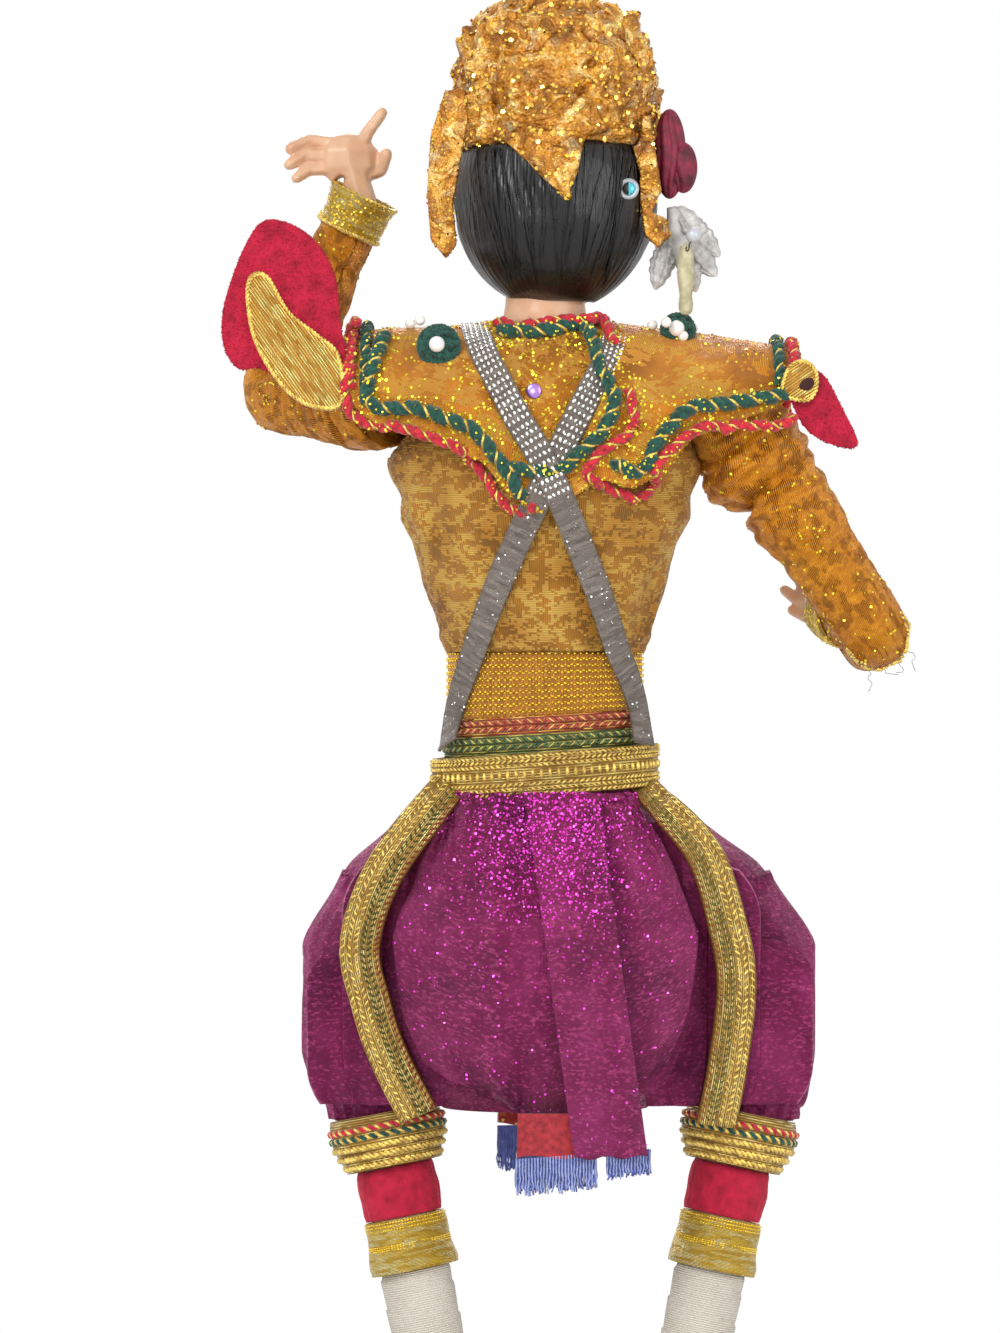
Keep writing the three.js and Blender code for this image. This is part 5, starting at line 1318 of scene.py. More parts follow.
# ---- torso, neck and cape
# The jacket: height, half width, half depth; and the room that a shoulder needs in its armhole
JACKET_ROWS = [
    (GREEN_Z + 0.2, 15.1, 11.4), (RIBBON_TOP_Z + 0.1, 15.2, 11.5), (RIBBON_TOP_Z + 1.2, 16.5, 12.5),
    (RIBBON_TOP_Z + 4, 18.0, 13.1), (RIBBON_TOP_Z + 14, 21.2, 13.9), (RIBBON_TOP_Z + 23, 24.2, 14.4),
    (CHEST_Z, 26.2, 14.5), (SHOULDER_Z, 23.2, 11.9), (SHOULDER_Z + 6.4, 15.2, 9.5), (NECK_Z - 2, 8.7, 8.0),
    (NECK_Z - 0.1, 7.5, 7.5)]
SOCKET = 9.3


def jacket_rings(rows=120, sides=170):
    """The jacket in level rings: gathered over the ribbon, dragged into folds under the arms."""
    u, v = rings_of(sides, rows)
    z = JACKET_ROWS[0][0] + v * (JACKET_ROWS[-1][0] - JACKET_ROWS[0][0])
    gather = 0.3 * np.exp(-np.maximum(0, z - RIBBON_TOP_Z) / 7) * np.sin(34 * u + 3 * np.sin(2 * u))
    drag = 0.35 * np.sin(0.8 * z + 5 * np.abs(np.cos(u))) * np.exp(-((z - CHEST_Z + 6) / 10) ** 2)
    out = np.where(z > RIBBON_TOP_Z + 0.8, gather + drag * np.abs(np.cos(u)), 0)
    x = (flow(JACKET_ROWS, z, 1) + out) * np.cos(u)
    points = np.stack([x, (flow(JACKET_ROWS, z, 2) + out) * np.sin(u), z], -1)
    return points + unit(points * [1, 1, 0]) * 0.16 * wander(points, 9, 4)[..., None]


def socketed(points):
    """The armholes: cloth that a shoulder would touch gives way towards the chest."""
    made = points.copy()
    for side, sign in (("left", 1), ("right", -1)):
        away = made - ARMS[side][0]
        room = SOCKET ** 2 - away[..., 1] ** 2 - away[..., 2] ** 2
        limit = ARMS[side][0][0] - sign * np.sqrt(np.maximum(room, 0))
        inside = (room > 0) & (made[..., 0] * sign > limit * sign)
        made[..., 0] = np.where(inside, limit, made[..., 0])
    return made


jacket = skin("jacket_back", socketed(crumpled(jacket_rings(), 0.05, 0.965, 0.8)), JACKET)
fit(jacket, "figure", "brocade", "jacket_body")
neck = lathe("neck_column", np.zeros(3), [
    (0.3, NECK_Z + 0.3), (7.0, NECK_Z + 0.35), (7.2, NECK_Z + 1.2), (7.0, NECK_Z + 2.6),
    (6.75, NECK_Z + 4.2), (6.6, NECK_Z + 6.5), (6.5, NECK_Z + 8.6), (6.3, NECK_Z + 9.3),
    (2.0, NECK_Z + 9.3)], FLESH, 72)
fit(neck, "figure", "flesh", "neck")

# The cape across the shoulders: x, height of its hem, height of its top, how far it reaches back
CAPE_LEFT, CAPE_RIGHT, NECK_HOLE = 34.0, 43.0, 8.7
CAPE_ROWS = [
    (-43, 225.4, 236.4, 11.4), (-33, 223.8, 237.8, 13), (-24.7, 221, 239, 15), (-19, 214.5, 239.8, 16),
    (-14, 212.4, 240.4, 16.6), (-9.5, 213.8, 241, 16.8), (-3, 210.4, 241.6, 16.8), (1.7, 208.2, 241.6, 16.8),
    (5.1, 210.6, 241.4, 16.8), (11, 217, 240.8, 16.6), (18, 220.4, 240, 15.8), (26, 221.8, 239.6, 14),
    (34, 223.2, 239, 13)]


def on_cape(x, v, off=0.0):
    """A point of the cape, from its front hem (v 0) over the shoulders to its back hem (v 1)."""
    x, v = np.broadcast_arrays(np.asarray(x, float), np.asarray(v, float))

    def bare(x, v):
        angle = (v - 0.5) * math.pi
        hem = flow(CAPE_ROWS, x, 1)
        rise = np.maximum(0, np.cos(angle)) ** 0.8 * (flow(CAPE_ROWS, x, 2) - hem)
        return np.stack([x, flow(CAPE_ROWS, x, 3) * np.sin(angle), hem + rise], -1)
    step = 0.02
    along_x = bare(x + step, v) - bare(x - step, v)
    along_v = bare(x, np.clip(v + step, 0, 1)) - bare(x, np.clip(v - step, 0, 1))
    return bare(x, v) + unit(np.cross(along_x, along_v)) * np.asarray(off, float)[..., None]


def cape_grid(around=300, rows=64):
    """The cape from the neck hole outwards, its hem a soft rectangle."""
    u, s = rings_of(around, rows)
    far = (np.abs(np.cos(u)) ** 9 + np.abs(np.sin(u)) ** 9) ** (-1 / 9)
    reach = np.where(np.cos(u) > 0, CAPE_LEFT, CAPE_RIGHT)
    inner_x, inner_v = NECK_HOLE * np.cos(u), 0.5 + np.arcsin(NECK_HOLE * np.sin(u) / 16.8) / math.pi
    outer_x, outer_v = reach * far * np.cos(u), 0.5 + 0.5 * far * np.sin(u)
    x, v = inner_x + (outer_x - inner_x) * s, inner_v + (outer_v - inner_v) * s
    flat = np.stack([x, v * 50, np.zeros_like(x)], -1)
    ripple = 0.22 * np.sin(21 * u) * s ** 5
    wave = 0.5 * wander(flat, 16, 12) * s * np.sqrt(np.maximum(0, 1 - s ** 6)) + ripple
    return on_cape(x, np.clip(v, 0, 1), 0.15 + np.clip(wave, -0.1, 0.8))


cape = cloth("collar_cape", cape_grid(), 0.75, CAPE, True)
fit(cape, "figure", "brocade", "cape")
back_ground = cast([cape, jacket])


def cord_on_back(name, route, finish, radius=1.0, lift=0.85):
    """A cord sewn to the back of the cape along a route of pixels."""
    flat = finer([(x, 0, z) for x, z in (at_pixel(*place) for place in route)], 1.5)[:, ::2]
    path = finer(lay_on(back_ground, flat, lift), 0.5)
    return twisted(name, path, edge_plies(finish), radius, 3.6)


def hem_cord(name, inset, finish):
    """A cord along the sides and the front of the cape, where the photographed edge goes on."""
    left, right = CAPE_LEFT - inset, -CAPE_RIGHT + inset
    side = [on_cape(left, v, 1.3) for v in np.linspace(0.9, 0.06, 8)]
    front = [on_cape(x, 0.012 * inset + 0.01, 1.3) for x in np.linspace(left, right, 24)]
    other = [on_cape(right, v, 1.3) for v in np.linspace(0.1, 0.9, 8)]
    return twisted(name, finer(side + front + other, 0.5), edge_plies(finish), 1.05, 3.6)


# Routes of the two cords on the back of the cape, in pixels of the photograph
GREEN_ROUTES = (
    ((386, 341), (371, 407), (417, 415), (447, 425), (473, 435), (493, 458), (509, 479), (521, 501)),
    ((504, 473), (555, 476), (578, 458), (596, 443), (608, 422), (611, 402), (598, 376), (593, 351),
     (578, 331), (545, 336), (499, 341)),
    ((611, 466), (624, 476), (641, 473), (652, 450), (669, 430), (685, 415), (720, 410), (780, 400)))
RED_ROUTES = (
    ((358, 325), (348, 384), (353, 417), (376, 430), (404, 433), (435, 443), (463, 456), (486, 479),
     (499, 501), (521, 517), (534, 512)),
    ((496, 328), (524, 333), (550, 325), (590, 323), (603, 328), (611, 351)),
    ((626, 397), (631, 427), (621, 443), (598, 458), (585, 479), (603, 491), (631, 501), (649, 486),
     (654, 468), (677, 445), (697, 433), (720, 430), (776, 430), (788, 420)))
greens = [cord_on_back(f"green_run_{i}", route, GREEN_YARN, 1.3, 1.0)
          for i, route in enumerate(GREEN_ROUTES)]
reds = [cord_on_back(f"red_run_{i}", route, RED_YARN) for i, route in enumerate(RED_ROUTES)]
fit(joined("green_gold_cord", greens + [hem_cord("green_hem", 4, GREEN_YARN)]), "figure", "green_yarn",
    "green_edge_cord")
fit(joined("red_gold_cord", reds + [hem_cord("red_hem", 1.4, RED_YARN)]), "figure", "red_yarn",
    "red_edge_cord")


def rosette(name, place, size, finish, turns=16):
    """A flattened ball of wound yarn, sewn down with a bead."""
    centre = lay_on(back_ground, [at_pixel(*place)], 0.9)[0]
    dice = np.random.default_rng(turns)
    made = [ball(name + "_core", centre, np.array([size * 0.9, 1.3, size * 0.9]), finish)]
    t = np.linspace(0, TURN, 40, endpoint=False)
    for i in range(turns):
        side = unit(dice.normal(size=3) * [1, 2.2, 1])
        first = unit(np.cross(side, dice.normal(size=3)))
        second = np.cross(side, first)
        loop = (np.cos(t)[:, None] * first + np.sin(t)[:, None] * second) * [size, 1.6, size]
        made.append(twisted(f"{name}_{i}", centre + loop, [(finish, 1.0), (finish, 0.9)], 0.55, 1.6, True))
    made.append(ball(name + "_bead", centre + [0.3, 1.9, 0.2], np.array([1.35, 1.2, 1.35]), PEARL))
    return made


def bead_at(name, place, radius, finish, lift=None, squash=0.85):
    lift = radius * 0.8 if lift is None else lift
    centre = lay_on(back_ground, [at_pixel(*place)], lift)[0]
    return ball(name, centre, np.array([radius, radius * squash, radius]), finish)


trims = rosette("green_rosette", (440, 355), 3.3, GREEN_YARN)
trims += rosette("shoulder_rosette", (676, 338), 2.6, GREEN_YARN, 12)
trims += [bead_at(f"shoulder_bead_{i}", place, 0.9, PEARL) for i, place in enumerate(
    ((411, 330), (421, 325), (431, 336), (651, 331), (664, 327), (681, 343), (692, 333)))]
trims.append(bead_at("loose_sequin", (533, 398), 1.3, SEQUIN, 0.5, 0.3))
# Points along the cords, near which the cape's glitter lies thickest
CORD_LINES = np.array([at_pixel(*p) for route in GREEN_ROUTES + RED_ROUTES
                       for p in finer([(x, y, 0) for x, y in route], 6)[:, :2]])


def near_cords(points):
    """Glitter lies thickest beside the cords, and less so in the middle of the back."""
    flat = points[:, None, ::2] - CORD_LINES[None]
    close = np.exp(-(np.linalg.norm(flat, axis=2).min(axis=1) / 2.2) ** 2)
    middle = 0.5 * np.exp(-((points[:, 0] + 1) / 14) ** 2 - ((points[:, 2] - 228) / 12) ** 2)
    return (0.07 + close + middle) * (points[:, 1] > 0)


cords = [bpy.data.objects["green_gold_cord"], bpy.data.objects["red_gold_cord"]]
trims.append(strew("cape_glitter", [cape], YELLOW_FLAKE, 2.3, 0.25, 0.8, near_cords, 12))
trims.append(strew("cord_glitter", cords, YELLOW_FLAKE, 0.6, 0.24, 0.8, lambda p: p[:, 1] > 0, 15))
fit(joined("bead_trims", trims), "figure", "green_yarn")


# ---- silver sashes, crossed on the back and again on the chest
def sash_route(sign):
    """One braid from the waist up the back, over the shoulder and down the front."""
    low = [(-16.6 * sign, 0, 169.8), (-15.0 * sign, 0, 175), (-8 * sign, 0, 196)]
    top = (11.6 * sign, 0, 236)
    back = [*low, (-0.6, 0, 214.8), (5.2 * sign, 0, 224), top]
    front = [top, (5.0 * sign, 0, 224), (-0.6, 0, 214.6), *low[::-1]]
    ground = cast([cape, jacket, *(bpy.data.objects[n] for n in ("lame_ribbon", "red_herringbone"))])
    lift = 1.6 if sign > 0 else 0.9
    stops = list(lay_on(ground, finer(back, 2.0)[:, ::2], lift, 1))
    for share in (0.6, 0, -0.6):
        hit = ground.ray_cast(Vector((12.2 * sign, 9.5 * share, 300)), Vector((0, 0, -1)))[0]
        stops.append(np.array(hit) + UP * lift)
    stops += list(lay_on(ground, finer(front, 2.0)[:, ::2], lift, -1))
    stops = np.array(stops)
    for _ in range(3):
        stops[1:-1] = 0.25 * stops[:-2] + 0.5 * stops[1:-1] + 0.25 * stops[2:]
    return finer(stops, 0.55)


def strip_over(path, width, cells, lift=0.0):
    """A flat braid along a path, with its face turned away from the body."""
    along = unit(np.gradient(path, axis=0))
    top = np.clip((path[:, 2] - 232) / 8, 0, 1)[:, None]
    out = unit(unit(path * [0.55, 1, 0]) * (1 - top) + UP * top)
    across = unit(np.cross(along, out))
    face = np.cross(across, along)
    return np.array([path + across * width * (i / cells - 0.5)
                     + face * (lift - 0.16 * (2 * i / cells - 1) ** 2) for i in range(cells + 1)])


def tinted_below(obj, level, finish):
    """Gives what lies lower than a height another finish."""
    obj.data.materials.append(finish.material)
    for face in obj.data.polygons:
        if face.center.z < level * MM:
            face.material_index = len(obj.data.materials) - 1
    return obj


for side, sign in (("left", 1), ("right", -1)):
    route = sash_route(sign)
    braid = cloth(f"sash_braid_{side}", strip_over(route, 4.6, 10), 0.5, SHEER)
    high = route[route[:, 2] > 211]
    parts = [braid, strew(f"sash_glints_{side}", [braid], SILVER_SLUB, 0.22, 0.16, 0.8, seed=6)]
    for i, offset in enumerate(np.linspace(-0.5, 0.5, 6)[:-1]):
        cell = strip_over(high[::2], 4.4, 5, lift=0.34)[i:i + 2]
        parts.append(stitched(f"sash_slubs_{side}_{i}", cell, SILVER_SLUB, RIB, (0.56, 0.36, 0.26), 0.4,
                              16 * (-1) ** i, seed=8 + i))
    selvages = strip_over(route, 4.6, 9, lift=0.06)
    for i, pair in enumerate(((0, 2), (8, 10))):
        thread = tinted_below(stitched(f"sash_edge_{side}_{i}", selvages[pair[0]:pair[1]], SILVER, RIB,
                                       (0.3, 0.2, 0.2), 0.2), 212, SHEER)
        parts.append(thread)
    fit(joined(f"silver_sash_{side}", parts), "figure", "silver_braid", f"sash_{side}")


# ---- sleeves, cuffs and hands
def bent_rings(path, radius, sides, shape, tight):
    """Rings along a bent path; tight draws the cloth in on the inside of the bend."""
    along = unit(np.gradient(path, axis=0))
    side = np.zeros_like(path)
    side[0] = unit(np.cross(along[0], [0.2, 1.0, 0.1]))
    for i in range(1, len(path)):
        side[i] = unit(side[i - 1] - along[i] * (side[i - 1] @ along[i]))
    lift = np.cross(along, side)
    u = angles(sides)
    bend = np.gradient(along, axis=0)
    strength = np.linalg.norm(bend, axis=1)
    towards = unit(bend + 1e-9)
    ring = np.cos(u)[None, :, None] * side[:, None] + np.sin(u)[None, :, None] * lift[:, None]
    facing_in = np.clip(np.einsum("ijk,ik->ij", ring, towards), 0, 1)
    reach = np.asarray(radius)[:, None] * (1 - tight * facing_in * np.clip(strength * 7, 0, 1)[:, None])
    reach = reach * shape(u[None, :], np.linspace(0, 1, len(path))[:, None])
    return path[:, None] + ring * reach[..., None]


# Cross folds of each sleeve: place along it, depth, width
FOLDS = {
    "left": ((0.3, 0.06, 0.05),),
    "right": ((0.12, 0.07, 0.02), (0.21, -0.16, 0.03), (0.262, 0.34, 0.018), (0.31, -0.08, 0.02),
              (0.42, 0.09, 0.02), (0.5, 0.05, 0.02)),
}
# How far the rim of each cuff is cut back under the palm, which comes near it when the hand bends
CUFF_DIP = {"left": 0.0, "right": 1.5}
PALM_ANGLE, PALM_SPREAD = 3.93, 0.8
CUFF_SIDES, CUFF_ROWS = 110, 24
# Girth of each sleeve: place along it, radius
SLEEVES = {
    "left": [(0, 7.2), (0.05, 7.5), (0.13, 7.7), (0.25, 7.2), (0.38, 6.6), (0.48, 6.3), (0.56, 6.1),
             (0.68, 6.3), (0.8, 5.8), (0.9, 4.9), (1, 4.6)],
    "right": [(0, 7.2), (0.05, 7.9), (0.1, 8.5), (0.16, 8.7), (0.22, 8.3), (0.29, 7.6), (0.35, 7.2),
              (0.45, 6.5), (0.55, 6.2), (0.62, 6.2), (0.75, 5.9), (0.88, 4.9), (1, 4.6)],
}


def arm_lines(side):
    """Shoulder, elbow and wrist, and the directions of the upper arm and the forearm."""
    shoulder, elbow, wrist = ARMS[side]
    return shoulder, elbow, wrist, unit(elbow - shoulder), unit(wrist - elbow)


def sleeve_path(side):
    """The middle of a sleeve, rounded off at the elbow."""
    shoulder, elbow, wrist, upper, fore = arm_lines(side)
    start, end = shoulder - upper * 2.0, wrist - fore * 3.0
    round_off = [elbow - upper * 5, elbow - upper * 1.6 + fore * 1.2, elbow + fore * 5]
    path = finer([start, shoulder + upper * 4, elbow - upper * 12, *round_off, elbow + fore * 12,
                  wrist - fore * 9, end], 0.5)
    for _ in range(6):
        path[1:-1] = 0.25 * path[:-2] + 0.5 * path[1:-1] + 0.25 * path[2:]
    return path


def sleeve_rings(side):
    path = sleeve_path(side)
    t = np.linspace(0, 1, len(path))

    def shape(angle, share):
        bunch = 0.035 if side == "right" else 0.018
        upper = hump(share, 0.2, 0.16)
        ring_fold = bunch * upper * np.sin(share * 150 + 1.7 * np.sin(angle * 2 + share * 9))
        long_fold = 0.02 * np.sin(5 * angle + 7 * share) + 0.012 * np.sin(13 * angle + 16 * share)
        for place, depth, width in FOLDS[side]:
            slant = place + 0.025 * np.cos(angle + 20 * place)
            dent = depth * hump(share, slant, width)
            long_fold = long_fold - dent * (0.55 + 0.45 * np.cos(angle))
        return 1 + ring_fold + long_fold
    return bent_rings(path, flow(SLEEVES[side], t), 96, shape, 0.32)


sleeves = {}
for side in ("left", "right"):
    shoulder, elbow, wrist, upper, fore = arm_lines(side)
    rings = crumpled(sleeve_rings(side), 0.10, 0.9, 0.9)
    sleeve = skin(f"sleeve_cloth_{side}", rings, SLEEVE)
    sequins = strew(f"sleeve_glitter_{side}", [sleeve], YELLOW_FLAKE, 0.16, 0.24, 0.8, seed=9)
    sleeve = joined(f"sleeve_cloth_{side}", [sleeve, sequins])
    sleeves[side] = sleeve
    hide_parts(f"upper_sleeve_{side}", f"fore_sleeve_{side}")
    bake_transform(sleeve)

    length = np.linalg.norm(wrist - elbow)
    rim = [(length - 4, 5.0), (length - 3.4, 5.45), (length - 1, 5.3), (length + 1.0, 5.45),
           (length + 2.6, 5.9), (length + 3.1, 6.1)]
    wrap = round_limb(elbow, wrist, rim, CUFF_SIDES, CUFF_ROWS,
                      lambda angle, place: 1 + 0.022 * np.sin(5 * angle + 1.2 * place))
    under_palm = hump(angles(CUFF_SIDES), PALM_ANGLE, PALM_SPREAD)
    dip = CUFF_DIP[side] * under_palm * np.linspace(-1, 1, CUFF_ROWS).clip(0)[:, None]
    wrap = wrap - fore * dip[..., None]
    cuff_parts = [cloth(f"cuff_band_{side}", wrap, 0.5, FOIL_CLOTH, True)]
    cuff_parts.append(strew(f"cuff_foil_{side}", cuff_parts[:1], RIBBON_FOIL, 2.2, 0.2, 0.4, seed=4))
    line = finer(ring_at((elbow, wrist), length - 3.6, 5.65, 40), 0.5, True)
    cuff_parts.append(twisted(f"cuff_line_{side}", line, GOLD_PLIES, 0.42, 1.3, True))
    fit(joined(f"lame_cuff_{side}", cuff_parts), f"forearm_{side}", "gold_cloth", f"wrist_cuff_{side}")
    hand = softened(f"hand_form_{side}", f"hand_{side}", FLESH, 0.3, 7)
    fit(hand, f"hand_{side}", "flesh", f"hand_{side}")


# Two rows of gold beads round the end of the right elbow, over the seam, with its loose threads
_, elbow, _, upper, fore = arm_lines("right")
outward = unit(upper - fore * (upper @ fore))
aside = np.cross(fore, outward)
elbow_ground = cast([sleeves["right"]])


def seam_line(back, off, turn=105, count=60):
    """Points half round the forearm, a little back from the elbow, on the sleeve's own surface."""
    made = []
    for angle in np.radians(np.linspace(-turn, turn, count)):
        guess = elbow - fore * back + 9 * (outward * math.cos(angle) + aside * math.sin(angle))
        spot = np.array(elbow_ground.find_nearest(Vector(guess))[0])
        made.append(spot + unit(guess - spot) * off)
    return np.array(made)


seam_rows = []
for i, back in enumerate((3.4, 4.6)):
    row = np.stack([seam_line(back, 0.3), seam_line(back + 0.3, 0.3)])
    seam_rows.append(stitched(f"seam_beads_{i}", row, GOLD_YARN, PEA, (0.3, 0.3, 0.28), 0.1))
loose = THREADS.make("seam_threads", line_of(seam_line(0.6, 0.1, 42, 20)), DARK_THREAD, spacing=2.3 * MM,
                     drop=tuple(outward * 2.6 * MM), radius=0.05 * MM, sway=9 * MM, seed=6)
seam = joined("elbow_seam", seam_rows + [loose])
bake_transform(seam)


# ---- head: face, hair, dome, spire and guards
def head_surface(angle, level, off=0.0):
    """The doll's head by angle round it and level from its centre, -1 at the chin and 1 at the crown."""
    girth = np.sqrt(np.maximum(0.004, 1 - level ** 2))
    fall = np.clip((-level - 0.2) / 0.8, 0, 1)
    jaw = 1 - 0.16 * fall ** 2 * (3 - 2 * fall)
    x = HEAD_HALF[0] * girth * jaw * np.cos(angle)
    z = level * HEAD_HALF[2]
    front = np.clip(-np.sin(angle), 0, 1)
    y = HEAD_HALF[1] * girth * np.sin(angle) * np.where(front > 0, 0.94, 1)

    def swell(cx, cz, wx, wz, size):
        return size * np.exp(-((x - cx) / wx) ** 2 - ((z - cz) / wz) ** 2)
    face = swell(0, -4.6, 1.9, 2.0, 1.7) + swell(0, -1.4, 1.3, 4.0, 0.9)
    face += (swell(0, -9.6, 3.0, 1.0, 0.45) + swell(0, -11.6, 2.6, 1.0, 0.4)
             - swell(0, -10.6, 3.2, 0.42, 0.35))
    face += swell(0, -15.6, 3.2, 2.4, 0.4)
    for s in (1, -1):
        face += swell(1.5 * s, -5.2, 0.9, 0.8, 0.35) + swell(6.8 * s, -7.0, 3.6, 4.0, 0.35)
        face -= swell(5.9 * s, -0.6, 3.0, 2.0, 0.75)
        face += swell(5.9 * s, -0.8, 2.3, 1.2, 0.55) + swell(5.8 * s, 3.2, 4.2, 1.2, 0.25)
    y = y - face * front
    point = np.stack([x, y, z], -1)
    return point + unit(point / HEAD_HALF ** 2) * np.asarray(off, float)[..., None] + HEAD


angle, level = np.meshgrid(angles(160), np.sin(np.linspace(-0.5, 0.44, 120) * math.pi))
face = skin("face_form", head_surface(angle, level, np.zeros_like(angle)), FLESH)
face_ground = cast([face])
features = [face]


def painted(name, centre_x, low, high, half, finish, lift=0.06):
    """A shape painted on the face between two curves over x from -1 to 1."""
    t, v = np.meshgrid(2 * np.linspace(0, 1, 28) - 1, np.linspace(0, 1, 8))
    x, z = centre_x + t * half, low(t) + (high(t) - low(t)) * v
    spots = lay_on(face_ground, zip(x.ravel() + HEAD[0], z.ravel() + HEAD[2]), lift, -1).reshape(8, 28, 3)
    return cloth(name, spots, 0.08, finish)


for s in (1, -1):
    lower = lambda t, s=s: -0.9 + 0.25 * s * t - 0.75 * (1 - t * t)
    upper_lid = lambda t, s=s: -0.9 + 0.25 * s * t + 0.95 * (1 - t * t) ** 0.8
    features += [
        painted(f"eye_white_{s}", 5.9 * s, lower, upper_lid, 2.7, IVORY, 0.07),
        painted(f"iris_{s}", 5.7 * s, lambda t: -0.95 - 0.72 * np.sqrt(1 - 0.96 * t * t),
                lambda t: -0.95 + 0.9 * np.sqrt(1 - 0.96 * t * t), 0.95, INK, 0.14),
        painted(f"lid_{s}", 6.05 * s, lambda t, s=s: -0.95 + 0.3 * s * t + 0.95 * (1 - t * t) ** 0.8,
                lambda t, s=s: -0.75 + 0.34 * s * t + 1.15 * (1 - t * t) ** 0.8, 3.1, INK, 0.15),
        painted(f"brow_{s}", 6.1 * s, lambda t, s=s: 2.9 + 0.25 * s * t + 1.0 * (1 - t * t),
                lambda t, s=s: 3.05 + 0.25 * s * t + 1.3 * (1 - t * t), 3.9, INK, 0.08)]
features += [
    painted("lower_lip", 0, lambda t: -10.7 - 1.35 * (1 - t * t), lambda t: -10.55 + 0.25 * t * t, 2.5, LIP),
    painted("upper_lip", 0, lambda t: -10.5 + 0.25 * t * t,
            lambda t: -10.4 + 1.0 * (1 - t * t) - 0.35 * np.exp(-(t / 0.2) ** 2) + 0.2 * t * t, 2.5, LIP)]
fit(joined("face", features), "head", "flesh", "head")


def hair_place(u, v):
    """The hair round the back of the head, from one cheek (u 0) to the other, nape to crown."""
    angle = (-0.30 + 1.60 * u) * math.pi
    level = -0.92 + v * (0.44 + 0.92)
    fall = np.clip((-level - 0.2) / 0.8, 0, 1)
    strand = (0.05 * np.sin(64 * angle + 12 * level * (1 - u) + 3 * np.sin(6 * level))
              + 0.05 * np.sin(171 * angle))
    lock = 0.2 * np.sin(9 * angle + 5 * level + np.sin(4 * level))
    edge = np.minimum(1, np.minimum(u, 1 - u) / 0.06)
    low_front = np.clip((0.28 - np.minimum(u, 1 - u)) / 0.28, 0, 1) * np.clip((-0.15 - level) / 0.3, 0, 1)
    off = 0.25 + (1.0 + strand + lock) * edge + 1.2 * fall * (1 - low_front)
    girth = np.sqrt(np.maximum(0.01, 1 - level ** 2))
    shell = HEAD_HALF + off[..., None] - np.array([0.15, 0.15, 0])
    x = shell[..., 0] * girth * np.cos(angle)
    y = shell[..., 1] * girth * np.sin(angle)
    return HEAD[0] + x, HEAD[1] + y, HEAD[2] + level * HEAD_HALF[2] + low_front * 2.0


cap = cloth("hair_shell", grid(hair_place, 420, 90), 0.5, HAIR)
hair_ground = cast([cap])
dice = np.random.default_rng(31)
strays = []
for i in range(46):
    x0 = dice.uniform(-13.5, 13.5)
    drop = np.linspace(0, 1, 9)
    x = HEAD[0] + x0 * (1 - 0.35 * drop ** 1.5) + 0.6 * np.sin(4 * drop + x0)
    z = HEAD[2] + 7 - 23 * drop * dice.uniform(0.75, 1.0)
    path = lay_on(hair_ground, list(zip(x, z)), 0.16 + 0.3 * dice.uniform() * (i % 5 == 0))
    strays.append(twisted(f"stray_{i}", finer(path, 0.8), [(HAIR, 1.0)], 0.14, 9.0))
fit(joined("hair", [cap, *strays]), "head", "hair", "hair_cap")

# The dome under its relief: height over the rim, share of the full radius
DOME_RADIUS, DOME_HEIGHT = 17.8, 26
DOME = [(0, 0.96), (3, 0.995), (8, 1.0), (13, 0.97), (18, 0.9), (21.5, 0.8), (24, 0.6), (26, 0.4)]


def dome_rings(rows=90, sides=200):
    """The headdress dome with its rolled rim, beaded band, leaves, crest and lumps of relief."""
    u, v = rings_of(sides, rows)
    rise = DOME_HEIGHT * v
    radius = DOME_RADIUS * flow(DOME, rise) - 0.25
    points = np.stack([radius * np.cos(u), 1.06 * radius * np.sin(u), RIM_Z + rise], -1) + HEAD * [1, 1, 0]
    out = unit((points - HEAD) * [1, 1, 0.5])
    lumps = 2.0 * wander(points, 7.5, 7) + 1.7 * np.abs(wander(points, 4.2, 9)) - 0.3
    rim = 0.5 * hump(rise, 1.2, 0.9) - 0.3 * hump(rise, 2.9, 0.7)
    band = 0.35 * hump(rise, 5.2, 1.1) * (1 + 0.8 * np.sin(40 * u))
    leaf = 0.45 * np.maximum(0, np.sin(12 * u)) * hump(rise, 13, 5)
    crest = 0.3 * hump(rise, 19.5, 0.8) + 0.3 * hump(rise, 22.5, 0.8)
    return points + out * (lumps * 0.5 + rim + band + leaf + crest - 0.35)[..., None]


def nape_place(u, v):
    """The point of gold relief that runs down over the nape."""
    left = HEAD[0] + 10 - (10 + 1.8) * v
    right = HEAD[0] - 5.2 + (5.2 - 1.8) * v
    x = left + (right - left) * u
    z = RIM_Z + 1.2 - 11.2 * v
    off = 2.5 + 0.5 * np.sin(math.pi * u) + 0.3 * np.sin(17 * u + 9 * v)
    reach = 1 - ((x - HEAD[0]) / (HEAD_HALF[0] + off)) ** 2 - ((z - HEAD[2]) / (HEAD_HALF[2] + off)) ** 2
    return x, HEAD[1] + (HEAD_HALF[1] + off) * np.sqrt(np.maximum(0.02, reach)), z


dome = skin("dome_form", dome_rings(), GILT)
nape = cloth("nape_point", grid(nape_place, 40, 40), 0.9, GILT)
glints = strew("dome_glints", [dome, nape], GOLD_FLAKE, 0.5, 0.34, 0.8, seed=5)
fit(joined("headdress", [dome, nape, glints]), "head", "gold_relief", "headdress_dome")

SPIRE_Z, SPIRE_HEIGHT = RIM_Z + 26.2, 46.0
